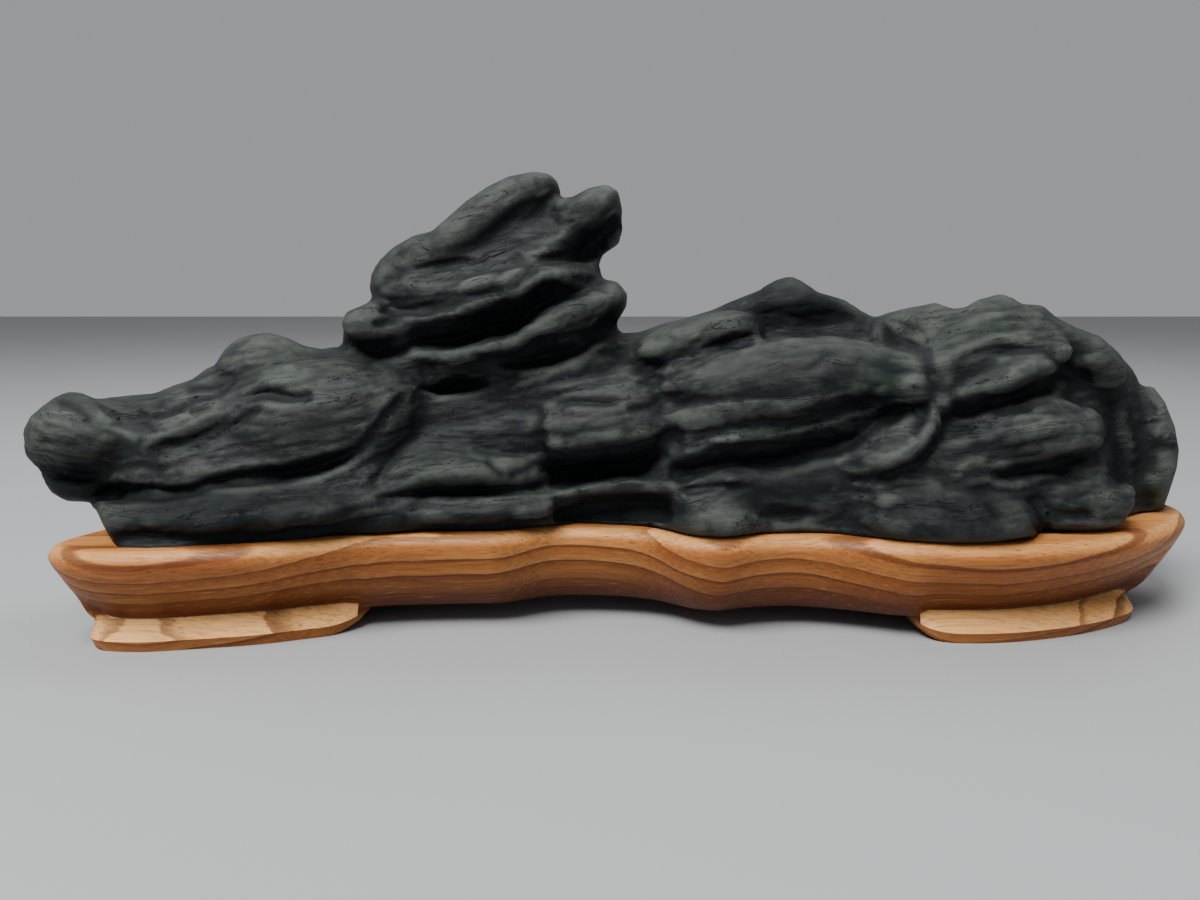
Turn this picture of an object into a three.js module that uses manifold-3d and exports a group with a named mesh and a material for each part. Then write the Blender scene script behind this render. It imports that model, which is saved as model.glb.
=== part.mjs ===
// Scholars rock on a carved wooden stand. Millimetres, +Z up, +X along the length, -Y towards the viewer.
// Two pieces: the stone, one natural solid, and the stand, one carved piece of wood with a recess for the
// stone.

import * as THREE from 'three';
import { SimplifyModifier } from 'three/addons/modifiers/SimplifyModifier.js';
import { mergeVertices } from 'three/addons/utils/BufferGeometryUtils.js';
import Module from 'manifold-3d';

// Driving dimensions of the stand, in mm
const RIM_HEIGHT = 33;          // top of the rim above the table
const SEAT_FLOOR = 27;          // floor of the recess that the stone stands in
const ARCH_HEIGHT = 6;          // underside of the apron between the feet
const SEAT_GAP = 0.35;          // room round the foot of the stone in its recess
const RIM_STEPS = 112;          // facets round the rim
const FOOT_ROUND = 14;          // length over which the end of a foot rounds up into the apron
const FOOT_WIDTH = 24;          // how far a foot reaches in under the stand
const SQUARE_INSET = 11;        // insets up to this run square to the rim, and deeper ones towards the spine

// Driving dimensions of the stone, in mm
const STONE_FOOT = SEAT_FLOOR + SEAT_GAP;   // underside of the stone
const STONE_SKIRT = RIM_HEIGHT + 0.5;       // above this height the stone may swell out over the rim
const SKIRT_SWELL = 0.6;                    // how far it swells out all round
const PLINTH_RISE = 0.5;                    // height over the skirt up to which the foot's outline carries on
const SKIRT_LAP = 4;                        // how far the foot's prism laps into the free part of the stone
const PLINTH_BLEND = 2.5;                   // how softly that foot runs into the body
const EDGE_ROUND = 19;                      // rounding where the front turns over to the back
const EDGE_BLEND = 2.5;                     // how softly the outline trims what reaches past it
const LOBE_BLEND = 4.5;                     // how softly neighbouring lobes run together
const LEDGE_CRISPNESS = 2;                  // half the width over which a ledge steps from brow to shade
const FACET_STEP = 2.6;                     // how steeply a leaning face steps out again at its lower line
const FACET_BLEND = 1.2;                    // how softly it turns there
const FACET_TAPER = 0.06;                   // share of its length over which a leaning face fades at each end
const BROW_REACH = 1.6;                     // height in mm over which the edge above a face runs out
const RELIEF_FADE = [1, 14];                // squares from the outline over which the relief comes in
const LINE_TAPER = 0.14;                    // share of a line's length over which it fades at each end
const FACE_TURN = 8;                        // depth over which the front's relief gives way to the back's
const GRID_STEP = 2.1;                      // spacing of the grid that the stone's surface is found on
const STONE_VERTICES = 3250;                // corners kept in the stone's faceted surface
const ORIGIN = new THREE.Vector3(8.35, -2.75, 0);   // the object's origin, from the drawing's zero
const STONE_ROOM = new THREE.Box3(new THREE.Vector3(-196, -62, 22), new THREE.Vector3(214, 62, 158));

// The stone's front is laid out on a drawing, as it is seen from one eye point. The drawing is 1200 squares
// across and 900 down, and it stands 1000 squares in front of the eye.
const EYE = new THREE.Vector3(0, -337, 108);
const SIGHT_TILT = THREE.MathUtils.degToRad(9.03);
const DRAWING_DISTANCE = 1000;
const DRAWING_CENTRE = new THREE.Vector2(600, 450);
const MIDDLE_SQUARE = 0.33;     // mm to a square at the middle of the stone's depth

// Outline of the stone on the drawing, clockwise from the tip of its nose, and closed well below the rim
const OUTLINE = [
  [21, 455], [21, 443], [24, 428], [29, 417], [40, 408], [55, 396], [70, 390], [82, 392], [95, 399],
  [112, 397], [135, 394], [155, 391], [172, 384], [190, 378], [205, 369], [215, 365], [224, 350],
  [235, 340], [250, 334], [268, 332], [288, 338], [305, 346], [322, 349], [341, 345], [341, 322],
  [346, 311], [362, 305], [371, 298], [368, 285], [369, 273], [378, 260], [392, 247], [412, 236],
  [432, 231], [448, 217], [466, 201], [488, 186], [508, 176], [533, 171], [550, 174], [559, 183],
  [562, 197], [572, 197], [588, 188], [607, 184], [618, 191], [622, 205], [626, 228], [621, 245],
  [604, 257], [601, 265], [605, 278], [618, 281], [628, 294], [627, 306], [619, 321], [620, 331],
  [640, 330], [665, 321], [700, 311], [738, 298], [760, 289], [776, 278], [790, 273], [802, 281],
  [818, 292], [845, 300], [862, 311], [873, 316], [893, 310], [915, 306], [935, 302], [953, 309],
  [966, 307], [980, 298], [1002, 292], [1012, 297], [1022, 304], [1043, 305], [1058, 318], [1075, 327],
  [1100, 336], [1120, 352], [1133, 367], [1141, 387], [1153, 386], [1165, 402], [1175, 427],
  [1179, 450], [1177, 468], [1170, 490], [1164, 508], [1166, 640], [104, 640], [111, 540], [103, 525],
  [96, 510], [88, 504], [66, 502], [52, 493], [36, 474],
];

// Soundings of the stone's body: a place on the drawing, then how far back its front and its back lie, in mm
const SOUNDINGS = [
  [55, 430, -26, 6], [60, 478, -22, 0], [84, 500, -16, 6], [110, 428, -32, 18], [130, 505, -43, 24],
  [200, 425, -37, 28], [220, 505, -45, 36], [265, 350, -8, 20], [265, 400, -30, 32], [330, 362, -8, 26],
  [330, 430, -35, 38], [350, 505, -38, 40], [400, 425, -25, 38], [450, 385, -12, 36], [480, 450, -28, 42],
  [480, 500, -31, 42], [560, 440, -25, 42], [600, 510, -18, 44], [650, 360, -12, 34], [650, 440, -28, 42],
  [700, 330, 2, 30], [720, 480, -33, 42], [720, 520, -36, 40], [790, 290, 8, 24], [800, 340, -14, 34],
  [800, 420, -31, 42], [800, 500, -32, 42], [880, 340, -14, 36], [900, 460, -36, 42], [930, 320, -4, 30],
  [950, 520, -43, 42], [1000, 310, 0, 30], [1000, 400, -33, 42], [1050, 450, -36, 42], [1090, 360, -10, 38],
  [1080, 500, -28, 42], [1145, 420, -4, 34], [1150, 490, 0, 32], [940, 372, -22, 38], [360, 330, -26, 20],
  [400, 270, -16, 22], [450, 320, -31, 26], [480, 225, -10, 24], [535, 200, -6, 22], [520, 280, -26, 26],
  [560, 335, -28, 28], [605, 210, -14, 14], [600, 300, -24, 20], [480, 368, -16, 30],
];
const SOUNDING_REACH = 42;      // squares over which a sounding holds
const FAR_WEIGHT = 1e-4;        // the little that it counts beyond them

// Lobes: place on the drawing, depth of the middle in mm, half length, half height and half depth in mm, and
// the angle in degrees at which the lobe rises to the right
const LOBES = [
  { name: 'nose', at: [98, 428], back: -14, size: [23, 12, 24], rise: -6 },
  { name: 'chin under the nose', at: [100, 478], back: -10, size: [18, 8, 17], rise: 8 },
  { name: 'left shoulder band', at: [200, 421], back: -20, size: [19, 6.5, 18], rise: 24 },
  { name: 'left hump', at: [272, 362], back: 2, size: [22, 12, 22], rise: 6 },
  { name: 'left smooth face', at: [314, 422], back: -21, size: [34, 19, 17], rise: 12 },
  { name: 'left low band', at: [232, 509], back: -28, size: [52, 8.5, 23], rise: 3 },
  { name: 'left low end', at: [140, 512], back: -32, size: [13, 9, 17], rise: 0 },
  { name: 'green shoulder', at: [460, 471], back: -20, size: [28, 7, 15], rise: 6 },
  { name: 'low middle ledge', at: [476, 506], back: -21, size: [34, 5, 14], rise: 2 },
  { name: 'middle block', at: [600, 425], back: -15, size: [26, 18, 17], rise: 5 },
  { name: 'tongue', at: [700, 337], back: -10, size: [21, 7, 13], rise: 14 },
  { name: 'great slab', at: [785, 376], back: -18, size: [42, 12, 18], rise: 4 },
  { name: 'slab root', at: [920, 376], back: -18, size: [20, 12, 16], rise: 10 },
  { name: 'slab foot', at: [775, 424], back: -22, size: [46, 7, 16], rise: 12 },
  { name: 'second peak', at: [796, 312], back: 12, size: [26, 12, 16], rise: 4 },
  { name: 'low right bump', at: [716, 516], back: -29, size: [14, 7, 12], rise: 0 },
  { name: 'low right band', at: [952, 517], back: -32, size: [30, 8, 17], rise: 0 },
  { name: 'low right knee', at: [892, 450], back: -30, size: [14, 8, 12], rise: 28 },
  { name: 'right oval', at: [1040, 430], back: -24, size: [21, 10, 16], rise: -3 },
  { name: 'right thick ridge', at: [1000, 374], back: -22, size: [22, 7, 14], rise: 20 },
  { name: 'right crown', at: [948, 340], back: -4, size: [24, 16, 20], rise: 0 },
  { name: 'right crown foot', at: [970, 360], back: -14, size: [30, 12, 17], rise: 14 },
  { name: 'right crown end', at: [1004, 326], back: 2, size: [16, 12, 19], rise: 0 },
  { name: 'right shoulder', at: [1064, 354], back: 0, size: [20, 12, 21], rise: -26 },
  { name: 'right low mass', at: [1068, 496], back: -20, size: [20, 12, 17], rise: 0 },
  { name: 'right end', at: [1140, 446], back: 12, size: [14, 26, 22], rise: 0 },
  { name: 'head top slab', at: [466, 236], back: 2, size: [37, 12, 21], rise: 33 },
  { name: 'head horn', at: [590, 206], back: -4, size: [14, 8, 13], rise: 24 },
  { name: 'head middle slab', at: [488, 296], back: -14, size: [27, 6, 17], rise: 17 },
  { name: 'head left lobe', at: [374, 322], back: -13, size: [11, 7, 15], rise: 0 },
  { name: 'head low slab', at: [528, 328], back: -18, size: [30, 6, 15], rise: 20 },
  { name: 'head right lobe', at: [611, 299], back: -8, size: [6.5, 7.5, 12], rise: 0 },
  { name: 'neck', at: [478, 360], back: 4, size: [42, 10, 24], rise: 6 },
  { name: 'back of the nose', at: [120, 440], back: 8, size: [20, 10, 12], rise: -14 },
  { name: 'back left bulge', at: [232, 462], back: 24, size: [28, 15, 14], rise: -8 },
  { name: 'back left low band', at: [300, 510], back: 30, size: [44, 8, 11], rise: 2 },
  { name: 'back middle bulge', at: [438, 448], back: 31, size: [30, 17, 13], rise: 7 },
  { name: 'back middle low band', at: [560, 506], back: 33, size: [42, 8, 12], rise: -2 },
  { name: 'back saddle', at: [655, 402], back: 25, size: [22, 11, 16], rise: 12 },
  { name: 'back right bulge', at: [800, 446], back: 32, size: [34, 18, 13], rise: -6 },
  { name: 'back of the second peak', at: [800, 350], back: 24, size: [26, 12, 13], rise: 10 },
  { name: 'back right low band', at: [905, 508], back: 33, size: [44, 8, 12], rise: 0 },
  { name: 'back right knee', at: [985, 424], back: 32, size: [24, 21, 14], rise: -10 },
  { name: 'back of the right end', at: [1100, 470], back: 28, size: [20, 17, 14], rise: 0 },
  { name: 'back of the head', at: [478, 300], back: 18, size: [32, 9, 13], rise: 20 },
  { name: 'back of the head top', at: [500, 228], back: 14, size: [26, 9, 12], rise: 34 },
];

// Hollows, given in the same way
const HOLLOWS = [
  { name: 'shade under the head slabs', at: [512, 312], back: -42, size: [26, 6, 17], rise: 20 },
  { name: 'pocket under the head', at: [452, 386], back: -32, size: [12, 3.6, 16], rise: 4 },
  { name: 'low middle recess', at: [616, 513], back: -38, size: [21, 5.5, 17], rise: 0 },
  { name: 'recess over the low bump', at: [812, 460], back: -46, size: [33, 5, 13], rise: 14 },
];

// Faces on the front that lean in under their upper line and step out again to their lower line. The numbers
// are how far a face leans in over its own height, and how far its upper edge stands out in mm
const FRONT_FACETS = [
  { name: 'under the nose', lean: 0.8, brow: 0.9,
    upper: [[22, 447], [45, 450], [60, 452], [90, 457], [120, 463], [148, 459]],
    lower: [[28, 466], [45, 479], [70, 486], [95, 481], [112, 474], [150, 467]] },
  { name: 'nose top groove', lean: 1, brow: 0,
    upper: [[95, 400], [102, 404], [112, 409], [125, 413], [140, 410], [150, 413], [165, 411], [178, 404]],
    lower: [[96, 405], [108, 417], [125, 422], [145, 419], [165, 419], [180, 411]] },
  { name: 'shoulder upper groove', lean: 1.2, brow: 0.4,
    upper: [[160, 414], [175, 407], [190, 398], [200, 396], [212, 395], [225, 388], [235, 377]],
    lower: [[165, 420], [182, 412], [196, 403], [212, 401], [226, 394], [240, 381]] },
  { name: 'shoulder groove', lean: 1.3, brow: 0.5,
    upper: [[148, 449], [160, 441], [172, 436], [185, 435], [200, 431], [215, 423], [230, 411], [240, 402]],
    lower: [[152, 453], [165, 450], [180, 447], [200, 441], [215, 433], [228, 421], [240, 409], [248, 402]] },
  { name: 'shoulder lower groove', lean: 0.9, brow: 0.5,
    upper: [[182, 448], [202, 442], [217, 434], [230, 422], [243, 410], [262, 401]],
    lower: [[158, 455], [185, 454], [207, 450], [220, 442], [235, 431], [250, 420], [270, 406]] },
  { name: 'shade under the hump', lean: 1.2, brow: 0.4,
    upper: [[240, 401], [255, 391], [265, 386], [280, 388], [300, 392], [314, 389]],
    lower: [[246, 405], [265, 402], [285, 404], [314, 403]] },
  { name: 'long left ledge', lean: 1.9, brow: 0.9,
    upper: [[92, 478], [120, 480], [150, 484], [175, 484], [195, 480], [205, 474], [225, 470], [250, 466],
      [280, 463], [305, 458], [325, 452], [345, 447], [355, 443], [362, 436], [372, 424], [380, 414],
      [390, 404], [397, 395], [404, 387]],
    lower: [[90, 505], [110, 506], [140, 504], [165, 505], [185, 501], [200, 496], [215, 491], [250, 488],
      [285, 485], [310, 479], [330, 473], [345, 465], [359, 453], [370, 442], [382, 427], [396, 410],
      [406, 399], [410, 391]] },
  { name: 'low band roll', lean: 0.5, brow: 0,
    upper: [[112, 520], [150, 525], [200, 523], [260, 520], [330, 518], [400, 515], [470, 515], [545, 512]],
    lower: [[106, 552], [150, 556], [250, 553], [330, 549], [400, 543], [470, 541], [545, 537]] },
  { name: 'low band second lip', lean: 0.8, brow: 0.4,
    upper: [[300, 521], [330, 514], [345, 508], [365, 501], [400, 497]],
    lower: [[326, 523], [348, 516], [370, 509], [400, 505]] },
  { name: 'under the green shoulder', lean: 1.5, brow: 0.5,
    upper: [[368, 495], [395, 491], [412, 484], [434, 478], [456, 478], [481, 478], [503, 483], [518, 484],
      [533, 479], [545, 474]],
    lower: [[366, 503], [395, 501], [420, 498], [451, 499], [474, 498], [501, 496], [523, 493], [543, 490],
      [552, 488]] },
  { name: 'over the green shoulder', lean: 0.4, brow: 0,
    upper: [[470, 436], [495, 434], [520, 434], [540, 428]],
    lower: [[468, 450], [484, 455], [500, 458], [520, 460], [541, 458]] },
  { name: 'under the middle block', lean: 1.1, brow: 0.7,
    upper: [[541, 430], [545, 442], [553, 448], [567, 448], [582, 445], [597, 441], [617, 439], [636, 438],
      [651, 436], [666, 431], [678, 425]],
    lower: [[543, 470], [548, 489], [566, 491], [582, 487], [602, 483], [622, 479], [640, 478], [660, 466],
      [668, 455], [684, 438]] },
  { name: 'under the first ridge', lean: 0.75, brow: 0.9,
    upper: [[678, 426], [698, 419], [719, 413], [746, 409], [770, 408], [788, 408], [807, 404], [828, 398],
      [849, 393], [861, 390], [880, 384]],
    lower: [[668, 452], [683, 446], [700, 441], [720, 436], [745, 431], [770, 428], [800, 423], [830, 414],
      [855, 406], [882, 395]] },
  { name: 'long undercut', lean: 1.35, brow: 0.9,
    upper: [[662, 457], [683, 454], [700, 449], [719, 443], [746, 440], [770, 437], [800, 431], [830, 424],
      [861, 415], [885, 405], [903, 402], [920, 407]],
    lower: [[640, 482], [683, 486], [716, 476], [755, 476], [776, 473], [800, 469], [816, 463], [837, 459],
      [861, 448], [873, 436], [885, 428], [900, 423], [918, 413]] },
  { name: 'second peak face', lean: 0.55, brow: 0,
    upper: [[742, 314], [757, 305], [776, 300], [804, 301], [828, 302], [849, 306], [861, 315], [880, 322]],
    lower: [[757, 329], [761, 341], [782, 338], [807, 340], [834, 337], [852, 341], [870, 338], [884, 327]] },
  { name: 'tongue shade', lean: 0.7, brow: 0,
    upper: [[698, 345], [713, 336], [735, 330], [753, 330]],
    lower: [[700, 352], [716, 351], [740, 349], [757, 346]] },
  { name: 'under the horn', lean: 0.9, brow: 0.5,
    upper: [[533, 259], [552, 244], [575, 228], [600, 214], [622, 203]],
    lower: [[545, 266], [560, 270], [584, 270], [601, 258], [611, 245], [626, 226]] },
  { name: 'head slab foot', lean: 0.6, brow: 0,
    upper: [[372, 297], [400, 296], [420, 294], [445, 291], [470, 290], [490, 287], [505, 282], [522, 268],
      [532, 259]],
    lower: [[360, 312], [400, 316], [424, 317], [452, 312], [472, 303], [495, 295], [515, 290], [530, 282],
      [546, 272]] },
  { name: "under the head's middle ridge", lean: 1.1, brow: 1,
    upper: [[395, 330], [424, 321], [455, 317], [475, 306], [499, 299], [518, 295], [535, 285], [552, 278],
      [575, 284], [594, 288]],
    lower: [[385, 344], [400, 351], [430, 352], [460, 351], [480, 348], [490, 344], [505, 342], [520, 336],
      [530, 326], [545, 316], [555, 309], [575, 301], [594, 294]] },
  { name: "under the head's low ridge", lean: 1.2, brow: 0.6,
    upper: [[468, 353], [490, 352], [505, 350], [520, 345], [530, 340], [545, 334], [560, 332], [575, 328],
      [590, 324], [600, 316], [612, 305], [626, 300]],
    lower: [[478, 358], [495, 364], [515, 370], [535, 370], [550, 368], [565, 363], [580, 358], [592, 347],
      [602, 339], [616, 330]] },
  { name: "under the head's left lobe", lean: 1, brow: 0.5,
    upper: [[343, 333], [365, 334], [385, 336], [412, 337]],
    lower: [[341, 350], [362, 354], [380, 361], [400, 359], [414, 353]] },
  { name: 'under the right upper ridge', lean: 1.3, brow: 0.8,
    upper: [[955, 357], [976, 349], [988, 345], [1003, 343], [1025, 345], [1046, 347]],
    lower: [[958, 364], [976, 358], [990, 354], [1003, 355], [1025, 355], [1044, 354]] },
  { name: 'under the right thick ridge', lean: 1.3, brow: 1.2,
    upper: [[944, 403], [970, 396], [988, 391], [1005, 385], [1023, 376], [1040, 369], [1052, 366],
      [1062, 371]],
    lower: [[950, 418], [962, 420], [976, 417], [988, 411], [1005, 406], [1020, 402], [1035, 399],
      [1052, 396], [1062, 388], [1066, 378]] },
  { name: 'under the right oval', lean: 1.35, brow: 0.5,
    upper: [[988, 472], [1005, 464], [1023, 461], [1046, 456], [1070, 450], [1093, 445], [1104, 440]],
    lower: [[992, 479], [1008, 485], [1029, 481], [1042, 473], [1064, 468], [1087, 461], [1105, 448]] },
  { name: 'under the knee', lean: 1.4, brow: 0.4,
    upper: [[834, 466], [849, 472], [861, 472], [875, 470]],
    lower: [[838, 478], [852, 485], [866, 485], [878, 479]] },
];

// Ridges and grooves on the front: a line, a height in mm, below zero for a groove, and a half width in mm
const FRONT_CREASES = [
  { name: 'diagonal groove', line: [[370, 487], [378, 476], [390, 463], [404, 451]], height: -2, width: 1.8 },
  { name: 'middle step', line: [[541, 426], [543, 444], [542, 462], [544, 476]], height: -2.6, width: 1.6 },
  { name: 'middle ledge', line: [[556, 503], [582, 492], [602, 489], [622, 486], [649, 485], [673, 486],
    [688, 489]], height: 3.6, width: 2.4 },
  { name: 'right vein', line: [[951, 392], [945, 401], [936, 411], [931, 426], [926, 438], [916, 447],
    [906, 456], [891, 463], [874, 472]], height: 3, width: 2.4 },
  { name: 'right vein crack', line: [[938, 430], [934, 441], [925, 452], [914, 462], [900, 468], [886, 475],
    [870, 483]], height: -3.4, width: 1.9 },
  { name: 'right end groove', line: [[1101, 388], [1107, 410], [1109, 433], [1116, 452], [1119, 474],
    [1116, 494]], height: -4, width: 2.6 },
  { name: 'low band end', line: [[1028, 496], [1038, 506], [1041, 520], [1040, 534]], height: -3.4,
    width: 2.2 },
];

// Soft swellings and dips on the front: middle, half length and half height in squares, the angle at which
// they rise to the right, their height in mm and how squarely they end
const FRONT_SWELLS = [
  { at: [445, 266], size: [30, 6], rise: 8, height: -2, edge: 2 },
  { at: [613, 238], size: [11, 11], rise: 0, height: 3, edge: 2 },
  { at: [453, 386], size: [30, 8], rise: 5, height: -5, edge: 3 },
  { at: [426, 370], size: [8, 9], rise: 0, height: -2, edge: 1.5 },
  { at: [566, 274], size: [18, 7], rise: 12, height: 2.2, edge: 2 },
  { at: [735, 473], size: [22, 9], rise: 3, height: 3.2, edge: 2.5 },
  { at: [700, 488], size: [22, 5], rise: 8, height: -2.5, edge: 2 },
  { at: [788, 514], size: [26, 9], rise: 0, height: -3.5, edge: 2 },
  { at: [1083, 376], size: [10, 11], rise: -30, height: -2.2, edge: 1.5 },
];

// The same on the back of the stone, drawn as it lies behind the same drawing
const BACK_FACETS = [
  { name: 'back head face', lean: 0.6, brow: 0.8,
    upper: [[372, 318], [420, 322], [480, 306], [540, 284], [590, 272]],
    lower: [[376, 340], [430, 350], [490, 338], [550, 318], [596, 292]] },
  { name: 'back left face', lean: 0.6, brow: 0.8,
    upper: [[130, 452], [180, 446], [240, 450], [300, 440], [350, 424]],
    lower: [[134, 470], [190, 474], [250, 476], [310, 466], [356, 442]] },
  { name: 'back middle face', lean: 0.6, brow: 0.6,
    upper: [[420, 470], [480, 462], [540, 466], [600, 452]],
    lower: [[424, 486], [486, 490], [546, 488], [604, 470]] },
  { name: 'back right face', lean: 0.7, brow: 0.8,
    upper: [[700, 452], [760, 442], [820, 446], [880, 428], [940, 420]],
    lower: [[704, 470], [766, 474], [828, 470], [886, 456], [946, 438]] },
  { name: 'back right fold', lean: 0.6, brow: 0.6,
    upper: [[960, 440], [1010, 428], [1060, 432], [1100, 420]],
    lower: [[964, 458], [1014, 456], [1064, 452], [1104, 436]] },
  { name: 'back crown face', lean: 0.5, brow: 0.5,
    upper: [[720, 334], [770, 322], [830, 326], [880, 334]],
    lower: [[724, 350], [776, 346], [834, 348], [884, 346]] },
];
const BACK_CREASES = [
  { name: 'back cleft', line: [[612, 350], [640, 400], [636, 460], [650, 505]], height: -5, width: 5 },
  { name: 'back gully', line: [[905, 330], [922, 390], [900, 440], [912, 500]], height: -5, width: 5 },
  { name: 'back left gully', line: [[345, 372], [366, 420], [352, 470], [360, 510]], height: -4, width: 4.5 },
  { name: 'back spur', line: [[480, 372], [500, 420], [490, 480]], height: 4, width: 8 },
  { name: 'back right spur', line: [[1010, 330], [1030, 390], [1024, 450]], height: 4, width: 8 },
];
const BACK_SWELLS = [
  { at: [690, 450], size: [26, 12], rise: 10, height: -2.5, edge: 2 },
  { at: [450, 400], size: [22, 7], rise: 8, height: -3, edge: 2 },
];

// Ledges on the back. The stone stands out above the line and is cut in under it. The numbers are how far it
// stands out and over what height, then how deep it is cut in and over what height, in mm
const BACK_LEDGES = [
  { name: 'back long ledge', line: [[110, 470], [210, 452], [320, 458], [430, 430], [540, 436], [650, 414],
    [760, 424], [880, 398], [1000, 410], [1100, 396]], out: [4, 9], cut: [6, 8] },
  { name: 'back low ledge', line: [[180, 505], [300, 496], [430, 500], [560, 486], [700, 494], [840, 478],
    [980, 486], [1090, 474]], out: [3, 7], cut: [5, 7] },
  { name: 'back head foot', line: [[350, 350], [420, 362], [500, 358], [570, 346], [615, 328]], out: [2, 7],
    cut: [6, 9] },
  { name: 'back head slab', line: [[360, 316], [430, 306], [500, 290], [560, 262], [610, 240]], out: [3, 7],
    cut: [5, 6] },
  { name: 'back head upper slab', line: [[400, 272], [460, 258], [520, 228], [580, 206]], out: [2.5, 6],
    cut: [3.5, 5] },
  { name: 'back shoulder', line: [[650, 372], [730, 352], [810, 356], [880, 338], [960, 350], [1060, 362]],
    out: [3, 7], cut: [4.5, 6] },
  { name: 'back left fold', line: [[150, 430], [230, 408], [300, 398], [350, 384]], out: [2.5, 6],
    cut: [3.5, 6] },
];

// Foot of the stone in plan, in mm, anticlockwise from its left end: front side first, then round the back
const SEAT = [
  [-148, -41], [-143, -48], [-134, -49.5], [-121, -46.5], [-103, -42.5], [-89, -38], [-79, -31],
  [-63, -28.5], [-47, -28], [-32, -28], [-23, -23], [-17, -17], [-8, -16.5], [4, -19.5], [16, -21.5],
  [23, -26], [29, -33], [37, -35.5], [45, -33.5], [51, -29], [62, -29.5], [72, -31], [82, -36.5],
  [93, -40], [106, -41.5], [121, -41.5], [129, -40], [135, -35.5], [138.5, -27.5], [146, -25.5],
  [155, -24.5], [165, -17.5], [171, -8.5], [178, 1], [187, 3], [196, 4.5], [200, 10], [198, 20],
  [190, 29], [175, 36], [158, 41], [132, 43], [102, 41], [72, 38], [42, 40], [12, 43], [-18, 41],
  [-48, 38], [-78, 40], [-103, 36], [-122, 26], [-135, 12], [-143, -3], [-147, -20],
];

// Outer edge of the rim in plan, in mm, through which a smooth closed curve runs
const RIM = [
  [-166.7, -43], [-157.8, -52.8], [-141, -56], [-121, -53], [-103, -49], [-86, -42.5], [-68, -36.5],
  [-47, -34.5], [-30, -33], [-15, -25.5], [0, -25], [14, -28.5], [26, -38], [38, -41.5], [50, -38],
  [62, -36.5], [76, -40], [92, -46], [106, -48], [124, -48], [141, -44.5], [160, -37.5], [180, -25],
  [195.6, -9], [204.2, 5], [204.7, 16], [199.5, 28], [187, 38], [163, 47.5], [133, 50], [102, 48], [72, 45],
  [42, 47], [12, 50.5], [-18, 48], [-48, 45], [-78, 47.5], [-105, 43.5], [-127, 33], [-143, 17],
  [-153, -1], [-160.6, -22],
];

// Feet: where each one is centred on the rim, as a place in plan, and half its length along the rim, in mm
const FEET = [
  { name: 'front left', near: [-122.5, -53], half: 52 },
  { name: 'front right', near: [145.4, -42.9], half: 49.4 },
  { name: 'back right', near: [160, 48], half: 44 },
  { name: 'back left', near: [-118, 38], half: 44 },
];

// The line in plan that the stand's underside closes on
const SPINE = [new THREE.Vector2(-112, -8), new THREE.Vector2(150, 4)];

// Section of the stand from the rim down: inset from the rim's outer edge and height in mm, between the feet,
// on a foot and, where it differs, on a foot at the stand's left end
const SECTION = [
  { apron: [4.6, RIM_HEIGHT], foot: [4.6, RIM_HEIGHT] },
  { apron: [2.4, RIM_HEIGHT - 0.6], foot: [2.4, RIM_HEIGHT - 0.6] },
  { apron: [0.7, RIM_HEIGHT - 2.1], foot: [0.7, RIM_HEIGHT - 2.1] },
  { apron: [0, RIM_HEIGHT - 4.6], foot: [0, RIM_HEIGHT - 4.6] },
  { apron: [1.6, 24], foot: [2.2, 24] },
  { apron: [4.4, 18.5], foot: [6.4, 18.2], left: [5, 18.6] },
  { apron: [7.2, 13.6], foot: [11, 12.8], left: [8.6, 14] },
  { apron: [9, 10.4], foot: [15, 9.2], left: [10.4, 11.6] },
  { apron: [11.4, 8], foot: [13.6, 7.8], left: [10.2, 9.2] },
  { apron: [13.8, 6.6], foot: [10, 5.6], left: [10.1, 6.4] },
  { apron: [16, ARCH_HEIGHT + 0.1], foot: [7, 3.6], left: [10.6, 3.6] },
  { apron: [17, ARCH_HEIGHT], foot: [8.4, 0], left: [12, 0] },
  { apron: [19, ARCH_HEIGHT], foot: [FOOT_WIDTH, 0] },
  { apron: [21, ARCH_HEIGHT], foot: [FOOT_WIDTH + 2, ARCH_HEIGHT] },
];

const wasm = await Module();
wasm.setup();

// A place in space as seen on the drawing: squares across, squares down, and mm to one square at that place
function sight(x, y, z) {
  const away = y - EYE.y;
  const rise = z - EYE.z;
  const forward = away * Math.cos(SIGHT_TILT) - rise * Math.sin(SIGHT_TILT);
  const up = away * Math.sin(SIGHT_TILT) + rise * Math.cos(SIGHT_TILT);
  const square = forward / DRAWING_DISTANCE;
  return [DRAWING_CENTRE.x + (x - EYE.x) / square, DRAWING_CENTRE.y - up / square, square];
}

// The point in space that a place on the drawing stands for, at a given distance back
function place([across, down], back) {
  const right = (across - DRAWING_CENTRE.x) / DRAWING_DISTANCE;
  const up = (DRAWING_CENTRE.y - down) / DRAWING_DISTANCE;
  const away = Math.cos(SIGHT_TILT) + up * Math.sin(SIGHT_TILT);
  const rise = up * Math.cos(SIGHT_TILT) - Math.sin(SIGHT_TILT);
  const reach = (back - EYE.y) / away;
  return new THREE.Vector3(EYE.x + reach * right, back, EYE.z + reach * rise);
}

function smoothstep(low, high, value) {
  const t = Math.min(1, Math.max(0, (value - low) / (high - low)));
  return t * t * (3 - 2 * t);
}

function smoothUnion(a, b, blend) {
  const h = Math.max(blend - Math.abs(a - b), 0) / blend;
  return Math.min(a, b) - h * h * blend / 4;
}

function smoothCut(a, b, blend) {
  return -smoothUnion(-a, b, blend);
}

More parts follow.
